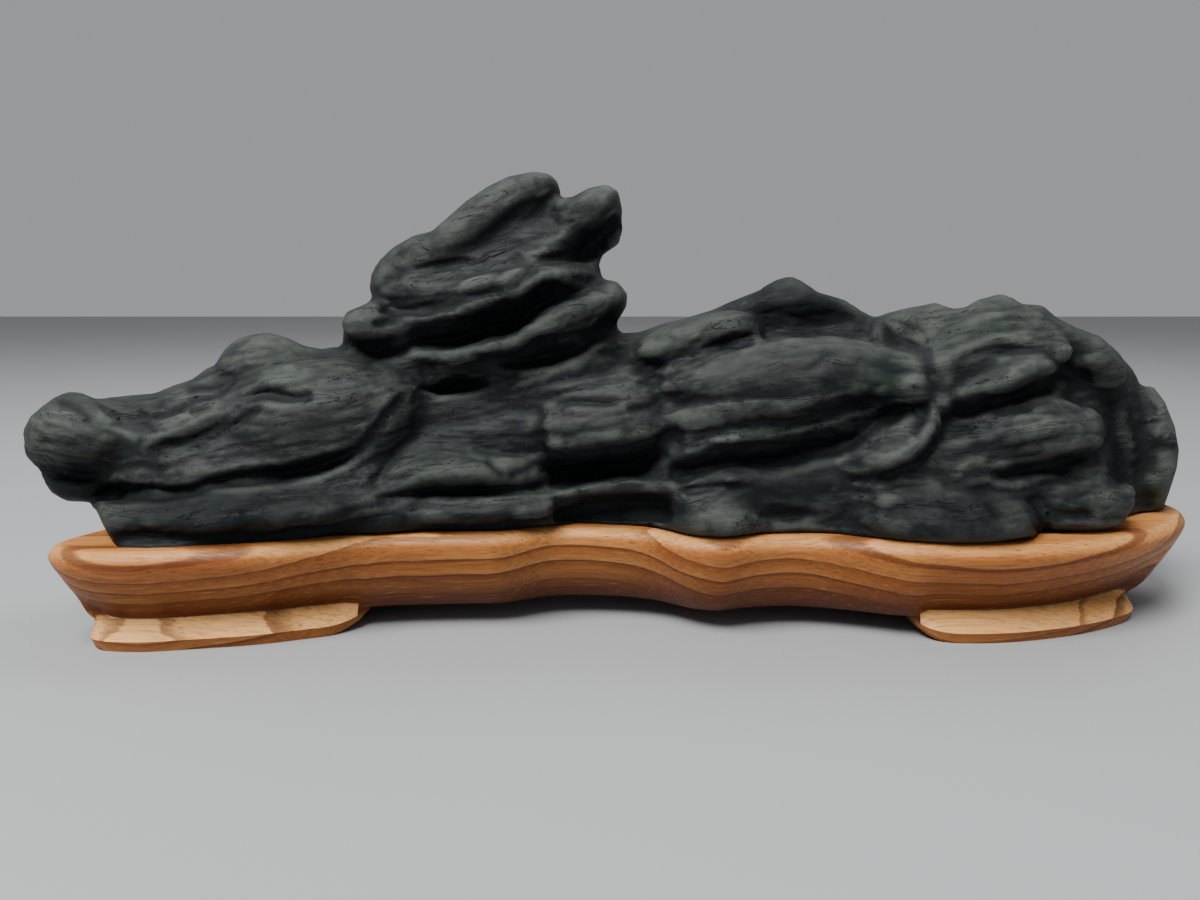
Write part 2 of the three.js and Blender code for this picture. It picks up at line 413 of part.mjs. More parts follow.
// Signed distance to a closed outline, below zero inside it
function outlineDistance(points, x, y) {
  let nearest = Infinity;
  let inside = false;
  for (let i = 0, j = points.length - 1; i < points.length; j = i++) {
    const [ax, ay] = points[j];
    const [bx, by] = points[i];
    const ex = bx - ax;
    const ey = by - ay;
    const t = Math.min(1, Math.max(0, ((x - ax) * ex + (y - ay) * ey) / (ex * ex + ey * ey)));
    nearest = Math.min(nearest, Math.hypot(x - ax - t * ex, y - ay - t * ey));
    if ((ay > y) !== (by > y) && x < ax + (y - ay) * ex / ey) {
      inside = !inside;
    }
  }
  return inside ? -nearest : nearest;
}

// Distance to an open line on the drawing, above zero over it, and how far along it the nearest point is
function lineDistance(line, across, down) {
  let nearest = Infinity;
  let side = 1;
  let along = 0;
  for (let i = 1; i < line.length; i++) {
    const [ax, ay] = line[i - 1];
    const ex = line[i][0] - ax;
    const ey = line[i][1] - ay;
    const t = Math.min(1, Math.max(0, ((across - ax) * ex + (down - ay) * ey) / (ex * ex + ey * ey)));
    const gap = Math.hypot(across - ax - t * ex, down - ay - t * ey);
    if (gap < nearest) {
      nearest = gap;
      side = (across - ax) * ey - (down - ay) * ex > 0 ? 1 : -1;
      along = (i - 1 + t) / (line.length - 1);
    }
  }
  return [nearest * side, along];
}

// How strong a line is along its length, from nothing at its ends
function fade(along, taper = LINE_TAPER) {
  return smoothstep(0, taper, along) * smoothstep(0, taper, 1 - along);
}

// Height in mm of a ledge at a place on the drawing
function ledgeHeight({ line, out, cut }, across, down) {
  const [gap, along] = lineDistance(line, across, down);
  const over = gap * MIDDLE_SQUARE;
  const above = smoothstep(-LEDGE_CRISPNESS, LEDGE_CRISPNESS, over);
  const brow = out[0] * Math.exp(-Math.max(over, 0) / out[1]);
  const shade = cut[0] * Math.exp(-Math.max(-over, 0) / cut[1]);
  return fade(along) * (above * brow - (1 - above) * shade);
}

// Height in mm of a leaning face and of the edge over it
function facetHeight({ upper, lower, lean, brow }, across, down) {
  const [gap, along] = lineDistance(upper, across, down);
  const above = Math.abs(gap) * MIDDLE_SQUARE;
  const edge = fade(along) * brow * Math.exp(-above / BROW_REACH);
  if (outlineDistance([...upper, ...lower.toReversed()], across, down) > 0) {
    return edge;
  }
  const under = Math.abs(lineDistance(lower, across, down)[0]) * MIDDLE_SQUARE;
  const depth = smoothUnion(lean * above, FACET_STEP * under, FACET_BLEND);
  return edge - fade(along, FACET_TAPER) * Math.max(depth, 0);
}

// Height in mm of a ridge or groove
function creaseHeight({ line, height, width }, across, down) {
  const [gap, along] = lineDistance(line, across, down);
  return fade(along) * height * Math.exp(-((gap * MIDDLE_SQUARE / width) ** 2));
}

// Height in mm of a swelling or dip
function swellHeight({ at, size, rise, height, edge }, across, down) {
  const cos = Math.cos(THREE.MathUtils.degToRad(rise));
  const sin = Math.sin(THREE.MathUtils.degToRad(rise));
  const dx = across - at[0];
  const dy = at[1] - down;
  const a = (dx * cos + dy * sin) / size[0];
  const b = (dy * cos - dx * sin) / size[1];
  return height * Math.exp(-((a * a + b * b) ** edge));
}

// The relief that one side's strokes add to it, in mm, at a place on the drawing
function relief({ ledges, facets, creases, swells }, across, down) {
  const inside = smoothstep(...RELIEF_FADE, -outlineDistance(OUTLINE, across, down));
  if (inside === 0) {
    return 0;
  }
  const total = (strokes, height) => strokes.reduce((sum, stroke) => sum + height(stroke, across, down), 0);
  return inside * (total(ledges, ledgeHeight) + total(facets, facetHeight) + total(creases, creaseHeight)
    + total(swells, swellHeight));
}

// Front and back of the stone's body behind a place on the drawing, from the soundings round it
function body(across, down) {
  let weights = 0;
  let front = 0;
  let back = 0;
  for (const [x, y, nearSide, farSide] of SOUNDINGS) {
    const r = Math.hypot(across - x, down - y) / SOUNDING_REACH;
    const weight = Math.exp(-r * r / 2) + FAR_WEIGHT / (1 + r * r);
    weights += weight;
    front += weight * nearSide;
    back += weight * farSide;
  }
  return [front / weights, back / weights];
}

// Sheets of values over the drawing, worked out once and read between their points
const SHEET_STEP = 2;
const SHEET_MARGIN = 20;
const SHEET_ACROSS = 620;
const SHEET_DOWN = 330;
function sheet(values) {
  const kept = new Float32Array(SHEET_ACROSS * SHEET_DOWN);
  for (let j = 0; j < SHEET_DOWN; j++) {
    for (let i = 0; i < SHEET_ACROSS; i++) {
      kept[j * SHEET_ACROSS + i] = values(i * SHEET_STEP - SHEET_MARGIN, j * SHEET_STEP);
    }
  }
  return (across, down) => {
    const x = Math.min(SHEET_ACROSS - 1.001, Math.max(0, (across + SHEET_MARGIN) / SHEET_STEP));
    const y = Math.min(SHEET_DOWN - 1.001, Math.max(0, down / SHEET_STEP));
    const i = Math.floor(x);
    const j = Math.floor(y);
    const a = kept[j * SHEET_ACROSS + i] * (1 - x + i) + kept[j * SHEET_ACROSS + i + 1] * (x - i);
    const b = kept[(j + 1) * SHEET_ACROSS + i] * (1 - x + i) + kept[(j + 1) * SHEET_ACROSS + i + 1] * (x - i);
    return a * (1 - y + j) + b * (y - j);
  };
}

// Rough distance to a lobe or a hollow, an ellipsoid tilted on the drawing
function ellipsoid({ at, back, size, rise }) {
  const middle = place(at, back);
  const cos = Math.cos(THREE.MathUtils.degToRad(rise));
  const sin = Math.sin(THREE.MathUtils.degToRad(rise));
  return (x, y, z) => {
    const dx = x - middle.x;
    const dz = z - middle.z;
    const a = (dx * cos + dz * sin) / size[0];
    const b = (dz * cos - dx * sin) / size[1];
    const c = (y - middle.y) / size[2];
    const k0 = Math.hypot(a, b, c);
    const k1 = Math.hypot(a / size[0], b / size[1], c / size[2]);
    return k1 > 0 ? k0 * (k0 - 1) / k1 : -Math.min(...size);
  };
}

// The stone as a field: below zero inside it, and roughly the distance to its surface in mm
function stoneField() {
  const edge = sheet((across, down) => outlineDistance(OUTLINE, across, down));
  const front = sheet((across, down) => body(across, down)[0]);
  const back = sheet((across, down) => body(across, down)[1]);
  const frontStrokes = { ledges: [], facets: FRONT_FACETS, creases: FRONT_CREASES, swells: FRONT_SWELLS };
  const backStrokes = {
    ledges: BACK_LEDGES, facets: BACK_FACETS, creases: BACK_CREASES, swells: BACK_SWELLS,
  };
  const frontRelief = sheet((across, down) => relief(frontStrokes, across, down));
  const backRelief = sheet((across, down) => relief(backStrokes, across, down));
  const lobes = LOBES.map(ellipsoid);
  const hollows = HOLLOWS.map(ellipsoid);
  return (x, y, z) => {
    const [across, down, square] = sight(x, y, z);
    const outside = edge(across, down) * square;
    const nearSide = front(across, down);
    const farSide = back(across, down);
    const thickness = Math.max(nearSide - y, y - farSide);
    const turn = Math.hypot(Math.max(thickness + EDGE_ROUND, 0), Math.max(outside + EDGE_ROUND, 0));
    let value = Math.max(turn - EDGE_ROUND, Math.min(thickness, outside));
    for (const lobe of lobes) {
      value = smoothUnion(value, lobe(x, y, z), LOBE_BLEND);
    }
    for (const hollow of hollows) {
      value = smoothCut(value, hollow(x, y, z), LOBE_BLEND);
    }
    const facing = smoothstep(FACE_TURN, -FACE_TURN, y - (nearSide + farSide) / 2);
    value -= facing * frontRelief(across, down) + (1 - facing) * backRelief(across, down);
    const seat = outlineDistance(SEAT, x, y);
    const plinth = Math.max(seat - SKIRT_SWELL, z - STONE_SKIRT - PLINTH_RISE);
    value = smoothUnion(value, plinth, PLINTH_BLEND);
    return smoothCut(value, -outside, EDGE_BLEND);
  };
}

// The surface where a field is zero, found in the six tetrahedra of each cell of a grid
function surface(field, box, step) {
  const counts = ['x', 'y', 'z'].map((axis) => Math.ceil((box.max[axis] - box.min[axis]) / step) + 1);
  const [nx, ny, nz] = counts;
  const values = new Float64Array(nx * ny * nz);
  const corner = (i, j, k) => (k * ny + j) * nx + i;
  for (let k = 0; k < nz; k++) {
    for (let j = 0; j < ny; j++) {
      for (let i = 0; i < nx; i++) {
        const value = field(box.min.x + i * step, box.min.y + j * step, box.min.z + k * step);
        const rim = i === 0 || j === 0 || k === 0 || i === nx - 1 || j === ny - 1 || k === nz - 1;
        values[corner(i, j, k)] = rim ? Math.max(value, step) : value || Number.EPSILON;
      }
    }
  }
  const paths = [[0, 1, 3, 7], [0, 1, 5, 7], [0, 2, 3, 7], [0, 2, 6, 7], [0, 4, 5, 7], [0, 4, 6, 7]];
  const positions = [];
  const triangles = [];
  const onEdge = new Map();
  const point = (id) => [id % nx, Math.floor(id / nx) % ny, Math.floor(id / (nx * ny))];
  const crossing = (a, b) => {
    const key = Math.min(a, b) * values.length + Math.max(a, b);
    if (!onEdge.has(key)) {
      const t = values[a] / (values[a] - values[b]);
      const pa = point(a);
      const pb = point(b);
      onEdge.set(key, positions.length / 3);
      positions.push(box.min.x + (pa[0] + t * (pb[0] - pa[0])) * step);
      positions.push(box.min.y + (pa[1] + t * (pb[1] - pa[1])) * step);
      positions.push(box.min.z + (pa[2] + t * (pb[2] - pa[2])) * step);
    }
    return onEdge.get(key);
  };
  const vertex = (id) => new THREE.Vector3().fromArray(positions, id * 3);
  const addTriangle = (a, b, c, inner, outer) => {
    const normal = vertex(b).sub(vertex(a)).cross(vertex(c).sub(vertex(a)));
    const outward = new THREE.Vector3(...point(outer)).sub(new THREE.Vector3(...point(inner)));
    triangles.push(...(normal.dot(outward) > 0 ? [a, b, c] : [a, c, b]));
  };
  for (let k = 0; k < nz - 1; k++) {
    for (let j = 0; j < ny - 1; j++) {
      for (let i = 0; i < nx - 1; i++) {
        const cell = [0, 1, 2, 3, 4, 5, 6, 7].map((n) => corner(i + (n & 1), j + (n >> 1 & 1), k + (n >> 2)));
        const solid = cell.filter((id) => values[id] < 0).length;
        if (solid === 0 || solid === 8) {
          continue;
        }
        for (const path of paths) {
          const inner = path.map((n) => cell[n]).filter((id) => values[id] < 0);
          const outer = path.map((n) => cell[n]).filter((id) => values[id] >= 0);
          if (inner.length === 1) {
            addTriangle(...outer.map((id) => crossing(inner[0], id)), inner[0], outer[0]);
          } else if (inner.length === 3) {
            addTriangle(...inner.map((id) => crossing(outer[0], id)), inner[0], outer[0]);
          } else if (inner.length === 2) {
            const [a, b] = inner;
            const [c, d] = outer;
            const ring = [crossing(a, c), crossing(a, d), crossing(b, d), crossing(b, c)];
            addTriangle(ring[0], ring[1], ring[2], a, c);
            addTriangle(ring[0], ring[2], ring[3], a, c);
          }
        }
      }
    }
  }
  return indexed(positions, triangles);
}

function indexed(positions, triangles) {
  const geometry = new THREE.BufferGeometry();
  geometry.setAttribute('position', new THREE.Float32BufferAttribute(positions, 3));
  geometry.setIndex(triangles);
  return geometry;
}

// A closed geometry as a solid that can be joined and cut, and back again
function solid(geometry) {
  const bare = geometry.clone();
  bare.deleteAttribute('normal');
  bare.deleteAttribute('uv');
  const merged = mergeVertices(bare, 1e-4);
  return new wasm.Manifold(new wasm.Mesh({
    numProp: 3,
    vertProperties: Float32Array.from(merged.attributes.position.array),
    triVerts: Uint32Array.from(merged.index.array),
  }));
}

function geometryOf(body) {
  const mesh = body.getMesh();
  return indexed(Array.from(mesh.vertProperties), Array.from(mesh.triVerts));
}

// An upright prism on a plan outline
function prism(points, low, high) {
  const shape = new THREE.Shape(points.map(([x, y]) => new THREE.Vector2(x, y)));
  const geometry = new THREE.ExtrudeGeometry(shape, { depth: high - low, bevelEnabled: false, steps: 1 });
  geometry.translate(0, 0, low);
  return solid(geometry);
}

// A plan outline moved outwards by a distance, corner by corner
function offsetOutline(points, distance) {
  return points.map(([x, y], i) => {
    const [ax, ay] = points[(i + points.length - 1) % points.length];
    const [bx, by] = points[(i + 1) % points.length];
    const before = new THREE.Vector2(x - ax, y - ay).normalize();
    const after = new THREE.Vector2(bx - x, by - y).normalize();
    const along = before.clone().add(after).normalize();
    const stretch = distance / along.dot(after);
    return [x + along.y * stretch, y - along.x * stretch];
  });
}

// The stone: its field's surface, thinned to facets, with its foot cut to the recess of the stand
async function stoneGeometry() {
  const fine = surface(stoneField(), STONE_ROOM, GRID_STEP);
  const spare = fine.attributes.position.count - STONE_VERTICES;
  const faceted = await new SimplifyModifier().modify(fine, spare);
  const size = STONE_ROOM.getSize(new THREE.Vector3());
  const above = new THREE.BoxGeometry(size.x * 2, size.y * 2, size.z);
  above.translate(0, 0, STONE_SKIRT + size.z / 2);
  const allowed = solid(above).add(prism(SEAT, STONE_FOOT, STONE_SKIRT + SKIRT_LAP));
  return geometryOf(solid(faceted).intersect(allowed));
}

// The rim's outer edge as evenly spaced places with their outward direction
function rimStations() {
  const corners = RIM.map(([x, y]) => new THREE.Vector3(x, y, 0));
  const curve = new THREE.CatmullRomCurve3(corners, true, 'centripetal');
  curve.arcLengthDivisions = 2000;
  const length = curve.getLength();
  return Array.from({ length: RIM_STEPS }, (_, i) => {
    const at = curve.getPointAt(i / RIM_STEPS);
    const along = curve.getTangentAt(i / RIM_STEPS);
    const out = new THREE.Vector2(along.y, -along.x);
    return { x: at.x, y: at.y, out, run: i / RIM_STEPS * length, length };
  });
}

// How much of a station is foot, from 0 on the apron to 1 on the foot
function footShare(station, stations) {
  let share = 0;
  for (const { near, half } of FEET) {
    const gap = (s) => Math.hypot(s.x - near[0], s.y - near[1]);
    const centre = stations.reduce((best, s) => (gap(s) < gap(best) ? s : best));
    const apart = Math.abs(station.run - centre.run);
    const along = Math.min(apart, station.length - apart);
    const toEnd = THREE.MathUtils.clamp((half - along) / FOOT_ROUND, 0, 1);
    share = Math.max(share, Math.sqrt(1 - (1 - toEnd) ** 2));
  }
  return share;
}

function standGeometry() {
  const stations = rimStations();
  const positions = [];
  for (const { apron, foot, left = foot } of SECTION) {
    for (const station of stations) {
      const share = footShare(station, stations);
      const leftward = Math.max(0, -station.out.x) ** 2;
      const [inset, height] = [0, 1].map((k) => {
        const onFoot = THREE.MathUtils.lerp(foot[k], left[k], leftward);
        return THREE.MathUtils.lerp(apron[k], onFoot, share);
      });
      const here = new THREE.Vector2(station.x, station.y);
      const edge = Math.min(inset, SQUARE_INSET);
      const at = here.clone().addScaledVector(station.out, -edge);
      const spine = SPINE[1].clone().sub(SPINE[0]);
      const t = THREE.MathUtils.clamp(here.clone().sub(SPINE[0]).dot(spine) / spine.lengthSq(), 0, 1);
      const inward = SPINE[0].clone().addScaledVector(spine, t).sub(at);
      at.addScaledVector(inward.normalize(), inset - edge);
      positions.push(at.x, at.y, height);
    }
  }
  const triangles = [];
  for (let ring = 0; ring < SECTION.length - 1; ring++) {
    for (let i = 0; i < RIM_STEPS; i++) {
      const next = (i + 1) % RIM_STEPS;
      const [a, b] = [ring * RIM_STEPS + i, ring * RIM_STEPS + next];
      const [c, d] = [a + RIM_STEPS, b + RIM_STEPS];
      triangles.push(a, c, b, b, c, d);
    }
  }
  for (const [ring, turned] of [[0, false], [SECTION.length - 1, true]]) {
    const first = ring * RIM_STEPS;
    const loop = Array.from({ length: RIM_STEPS }, (_, i) => {
      return new THREE.Vector2(positions[(first + i) * 3], positions[(first + i) * 3 + 1]);
    });
    for (const [a, b, c] of THREE.ShapeUtils.triangulateShape(loop, [])) {
      triangles.push(first + a, first + (turned ? c : b), first + (turned ? b : c));
    }
  }
  const carved = solid(indexed(positions, triangles));
  return geometryOf(carved.subtract(prism(offsetOutline(SEAT, SEAT_GAP), SEAT_FLOOR, 2 * RIM_HEIGHT)));
}

const stone = new THREE.Mesh(
  await stoneGeometry(),
  new THREE.MeshStandardMaterial({ color: 0x2a3132, roughness: 0.7, metalness: 0 }),
);
stone.name = 'stone';

const stand = new THREE.Mesh(
  standGeometry(),
  new THREE.MeshStandardMaterial({ color: 0xb8763f, roughness: 0.5, metalness: 0 }),
);
stand.name = 'stand';

// The origin lies on the table, under the middle of the object's box
const rock = new THREE.Group();
rock.add(stone, stand);
for (const piece of rock.children) {
  piece.position.copy(ORIGIN).negate();
}

export default rock;
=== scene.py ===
"""The looks of a scholars rock on its carved wooden stand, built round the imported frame.

The stone's surface is found again from lobes, hollows and drawn lines like those that shape its solid, and
gets the fine folds, cracks and grain that a faceted solid can't hold. The stand is carved again with a smooth
section. Metres, +Z up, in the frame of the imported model; the drawing that the stone lies on is in squares.
"""

import logging
import math
from collections.abc import Iterator
from contextlib import contextmanager
from dataclasses import dataclass
from enum import Enum

import bpy
import numpy as np
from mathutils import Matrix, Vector, noise


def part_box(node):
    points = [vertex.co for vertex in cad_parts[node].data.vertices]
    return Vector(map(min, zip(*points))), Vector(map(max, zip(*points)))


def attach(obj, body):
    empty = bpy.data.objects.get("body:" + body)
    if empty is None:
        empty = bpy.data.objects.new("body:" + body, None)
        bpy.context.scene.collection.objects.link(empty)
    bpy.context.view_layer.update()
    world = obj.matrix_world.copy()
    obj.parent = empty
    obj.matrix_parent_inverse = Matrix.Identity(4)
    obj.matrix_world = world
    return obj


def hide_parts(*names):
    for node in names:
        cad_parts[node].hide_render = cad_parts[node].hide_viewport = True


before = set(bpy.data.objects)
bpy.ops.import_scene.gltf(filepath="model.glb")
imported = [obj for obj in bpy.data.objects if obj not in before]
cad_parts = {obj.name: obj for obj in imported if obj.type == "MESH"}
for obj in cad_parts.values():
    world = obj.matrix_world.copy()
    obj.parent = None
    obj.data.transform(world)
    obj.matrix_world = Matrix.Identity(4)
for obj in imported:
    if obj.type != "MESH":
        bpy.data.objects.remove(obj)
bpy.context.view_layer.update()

log = logging.getLogger("scholars_rock")
MM = 0.001
STONE_WELD = 0.01 * MM
WOOD_WELD = 0.001 * MM
FOLD_SEED = 7
Array = np.ndarray
Place = tuple[float, float]
Span = tuple[float, float]
Point = tuple[float, float, float]
Colour = tuple[float, float, float, float]
Piece = bpy.types.Object
Socket = bpy.types.NodeSocket


class Side(Enum):
    """The two faces of the stone that the drawing's lines can lie on."""

    FRONT = "front"
    BACK = "back"


class Tint(Enum):
    """The colour patches on the stone, each kept in a vertex attribute of its own; the dark one is painted
    shade.
    """

    GREEN = "green"
    GREY = "grey"
    PALE = "pale"
    DARK = "dark"


@dataclass(frozen=True)
class Drawing:
    """The drawing that the stone's front is laid out on, as seen from one eye point.

    The drawing is 1200 squares across and 900 down, and it stands a thousand squares in front of the eye. The
    eye is in millimetres from the drawing's own zero, which lies off the object's origin by `origin`.
    """

    eye: Point = (0.0, -337.0, 108.0)
    tilt: float = math.radians(9.03)
    distance: float = 1000.0
    centre: Place = (600.0, 450.0)
    width: float = 1200.0
    middle_square: float = 0.33
    origin: Point = (8.35, -2.75, 0.0)

    def sight(self, x: Array, y: Array, z: Array) -> tuple[Array, Array, Array]:
        """Where points are seen on the drawing.

        Args:
            x, y, z: places in millimetres from the drawing's zero.

        Returns:
            Squares across, squares down, and millimetres to one square at each point's distance.
        """
        away = y - self.eye[1]
        rise = z - self.eye[2]
        forward = away * math.cos(self.tilt) - rise * math.sin(self.tilt)
        up = away * math.sin(self.tilt) + rise * math.cos(self.tilt)
        square = forward / self.distance
        return self.centre[0] + (x - self.eye[0]) / square, self.centre[1] - up / square, square

    def place(self, at: Place, back: float) -> Array:
        """The point in millimetres that a place on the drawing stands for at a given distance back."""
        right = (at[0] - self.centre[0]) / self.distance
        up = (self.centre[1] - at[1]) / self.distance
        away = math.cos(self.tilt) + up * math.sin(self.tilt)
        rise = up * math.cos(self.tilt) - math.sin(self.tilt)
        reach = (back - self.eye[1]) / away
        return np.array((self.eye[0] + reach * right, back, self.eye[2] + reach * rise))

    def eye_in_frame(self) -> Vector:
        """The eye point in metres in the object's frame."""
        return Vector([(e - o) * MM for e, o in zip(self.eye, self.origin)])


DRAWING = Drawing()


@dataclass(frozen=True)
class Lobe:
    """An ellipsoid that swells the stone, or hollows it.

    Its middle is a place on the drawing and a depth in mm, its half length, half height and half depth are in
    mm, and it rises to the right by an angle in degrees.
    """

    name: str
    at: Place
    back: float
    size: Point
    rise: float = 0.0

    def distance(self, x: Array, y: Array, z: Array) -> Array:
        """Rough distance in mm to the ellipsoid, below zero inside it."""
        middle = DRAWING.place(self.at, self.back)
        cos = math.cos(math.radians(self.rise))
        sin = math.sin(math.radians(self.rise))
        dx = x - middle[0]
        dz = z - middle[2]
        a = (dx * cos + dz * sin) / self.size[0]
        b = (dz * cos - dx * sin) / self.size[1]
        c = (y - middle[1]) / self.size[2]
        k0 = np.sqrt(a * a + b * b + c * c)
        k1 = np.sqrt((a / self.size[0]) ** 2 + (b / self.size[1]) ** 2 + (c / self.size[2]) ** 2)
        return k0 * (k0 - 1) / np.maximum(k1, 1e-6)


@dataclass(frozen=True)
class Ledge:
    """A ledge: the stone stands out above its line and is cut in under it.

    `out` is how far it stands out and over what height, `cut` how deep it is cut in and over what height, all
    in mm.
    """

    name: str
    line: tuple[Place, ...]
    out: tuple[float, float]
    cut: tuple[float, float]


@dataclass(frozen=True)
class Crease:
    """A ridge, or below zero a groove, along a line: its height and half width in mm."""

    name: str
    line: tuple[Place, ...]
    height: float
    width: float


@dataclass(frozen=True)
class Facet:
    """A face that leans in under its upper line and steps out again to its lower line.

    `lean` is how far it leans in over its own height, `brow` the height in mm of the edge along its upper
    line, which also sets the painted highlight along that line, and `shade` how much painted shade darkens
    the stone on the face.
    """

    name: str
    upper: tuple[Place, ...]
    lower: tuple[Place, ...]
    lean: float
    brow: float = 0.0
    shade: float = 0.6


@dataclass(frozen=True)
class Patch:
    """A soft oval on the drawing.

    Its half length and half height are in squares and its rise to the right in degrees. As a form its
    strength is a height in mm, as a colour a share.
    """

    at: Place
    size: tuple[float, float]
    rise: float
    strength: float
    edge: float = 1.5

    def share(self, across: Array, down: Array) -> Array:
        """How much of the patch lies at each place, from 0 to its strength."""
        cos = math.cos(math.radians(self.rise))
        sin = math.sin(math.radians(self.rise))
        dx = across - self.at[0]
        dy = self.at[1] - down
        a = (dx * cos + dy * sin) / self.size[0]
        b = (dy * cos - dx * sin) / self.size[1]
        return self.strength * np.exp(-(a * a + b * b) ** self.edge)


def patches(*rows: tuple[float, ...]) -> list[Patch]:
    """Patches from rows of across, down, half length, half height, rise, strength and, where given, edge."""
    return [Patch((across, down), (length, height), *rest) for across, down, length, height, *rest in rows]


def strongest(patches_here: list[Patch], across: Array, down: Array) -> Array:
    """The share of the strongest patch at each place."""
    share = np.zeros(len(across))
    for patch in patches_here:
        share = np.maximum(share, patch.share(across, down))
    return share


def smoothstep(low: float, high: float, value: Array) -> Array:
    """A soft step from 0 at `low` to 1 at `high`."""
    t = np.clip((value - low) / (high - low), 0.0, 1.0)
    return t * t * (3 - 2 * t)


def smooth_union(a: Array, b: Array, blend: float) -> Array:
    """The lesser of two distances, run together softly over `blend` mm."""
    h = np.maximum(blend - np.abs(a - b), 0.0) / blend
    return np.minimum(a, b) - h * h * blend / 4


def smooth_cut(a: Array, b: Array, blend: float) -> Array:
    """The first shape with the second taken out of it softly."""
    return -smooth_union(-a, b, blend)


def fade(along: Array, taper: float = 0.14) -> Array:
    """How strong a line is along its length, from nothing at its ends."""
    return smoothstep(0.0, taper, along) * smoothstep(0.0, taper, 1 - along)


def outline_distance(points: list[Place], x: Array, y: Array) -> Array:
    """Signed distance to a closed outline, below zero inside it."""
    nearest = np.full(x.shape, np.inf)
    inside = np.zeros(x.shape, bool)
    for (ax, ay), (bx, by) in zip([points[-1], *points[:-1]], points):
        ex, ey = bx - ax, by - ay
        t = np.clip(((x - ax) * ex + (y - ay) * ey) / (ex * ex + ey * ey), 0.0, 1.0)
        nearest = np.minimum(nearest, np.hypot(x - ax - t * ex, y - ay - t * ey))
        if ay != by:
            inside ^= ((ay > y) != (by > y)) & (x < ax + (y - ay) * ex / ey)
    return np.where(inside, -nearest, nearest)


def line_distance(line: tuple[Place, ...], x: Array, y: Array) -> tuple[Array, Array]:
    """Distance to an open line, above zero over it, and how far along the line the nearest point is."""
    nearest = np.full(x.shape, np.inf)
    side = np.ones(x.shape)
    along = np.zeros(x.shape)
    for i, ((ax, ay), (bx, by)) in enumerate(zip(line, line[1:])):
        ex, ey = bx - ax, by - ay
        t = np.clip(((x - ax) * ex + (y - ay) * ey) / (ex * ex + ey * ey), 0.0, 1.0)
        gap = np.hypot(x - ax - t * ex, y - ay - t * ey)
        closer = gap < nearest
        nearest = np.where(closer, gap, nearest)
        side = np.where(closer, np.sign((x - ax) * ey - (y - ay) * ex), side)
        along = np.where(closer, (i + t) / (len(line) - 1), along)
    return nearest * side, along


class Sheet:
    """Values over a flat grid, worked out once and read between their points."""

    def __init__(self, low: Place, step: float, values: Array) -> None:
        """Keeps a grid of values whose first point lies at `low`, `step` apart."""
        self.low = low
        self.step = step
        self.values = values

    def read(self, x: Array, y: Array) -> Array:
        """The value at each place, straight between the grid's points."""
        rows, columns = self.values.shape
        u = np.clip((x - self.low[0]) / self.step, 0.0, columns - 1.001)
        v = np.clip((y - self.low[1]) / self.step, 0.0, rows - 1.001)
        i = u.astype(int)
        j = v.astype(int)
        u = u - i
        v = v - j
        upper = self.values[j, i] * (1 - u) + self.values[j, i + 1] * u
        lower = self.values[j + 1, i] * (1 - u) + self.values[j + 1, i + 1] * u
        return upper * (1 - v) + lower * v


OUTLINE: list[Place] = [
    (21, 455), (21, 443), (24, 428), (29, 417), (40, 408), (55, 396), (70, 390), (82, 392), (95, 399),
    (112, 397), (135, 394), (155, 391), (172, 384), (190, 378), (205, 369), (215, 365), (224, 350),
    (235, 340), (250, 334), (268, 332), (288, 338), (305, 346), (322, 349), (341, 345), (341, 322),
    (346, 311), (362, 305), (371, 298), (368, 285), (369, 273), (378, 260), (392, 247), (412, 236),
    (432, 231), (448, 217), (466, 201), (488, 186), (508, 176), (533, 171), (550, 174), (559, 183),
    (562, 197), (572, 197), (588, 188), (607, 184), (618, 191), (622, 205), (626, 228), (621, 245),
    (604, 257), (601, 265), (605, 278), (618, 281), (628, 294), (627, 306), (619, 321), (620, 331),
    (640, 330), (665, 321), (700, 311), (738, 298), (760, 289), (776, 278), (790, 273), (802, 281),
    (818, 292), (845, 300), (862, 311), (873, 316), (893, 310), (915, 306), (935, 302), (953, 309),
    (966, 307), (980, 298), (1002, 292), (1012, 297), (1022, 304), (1043, 305), (1058, 318), (1075, 327),
    (1100, 336), (1120, 352), (1133, 367), (1141, 387), (1153, 386), (1165, 402), (1175, 427), (1179, 450),
    (1177, 468), (1170, 490), (1164, 508), (1166, 640), (104, 640), (111, 540), (103, 525), (96, 510),
    (88, 504), (66, 502), (52, 493), (36, 474),
]
"""Outline of the stone on the drawing, clockwise from the tip of its nose, and closed well below the rim."""

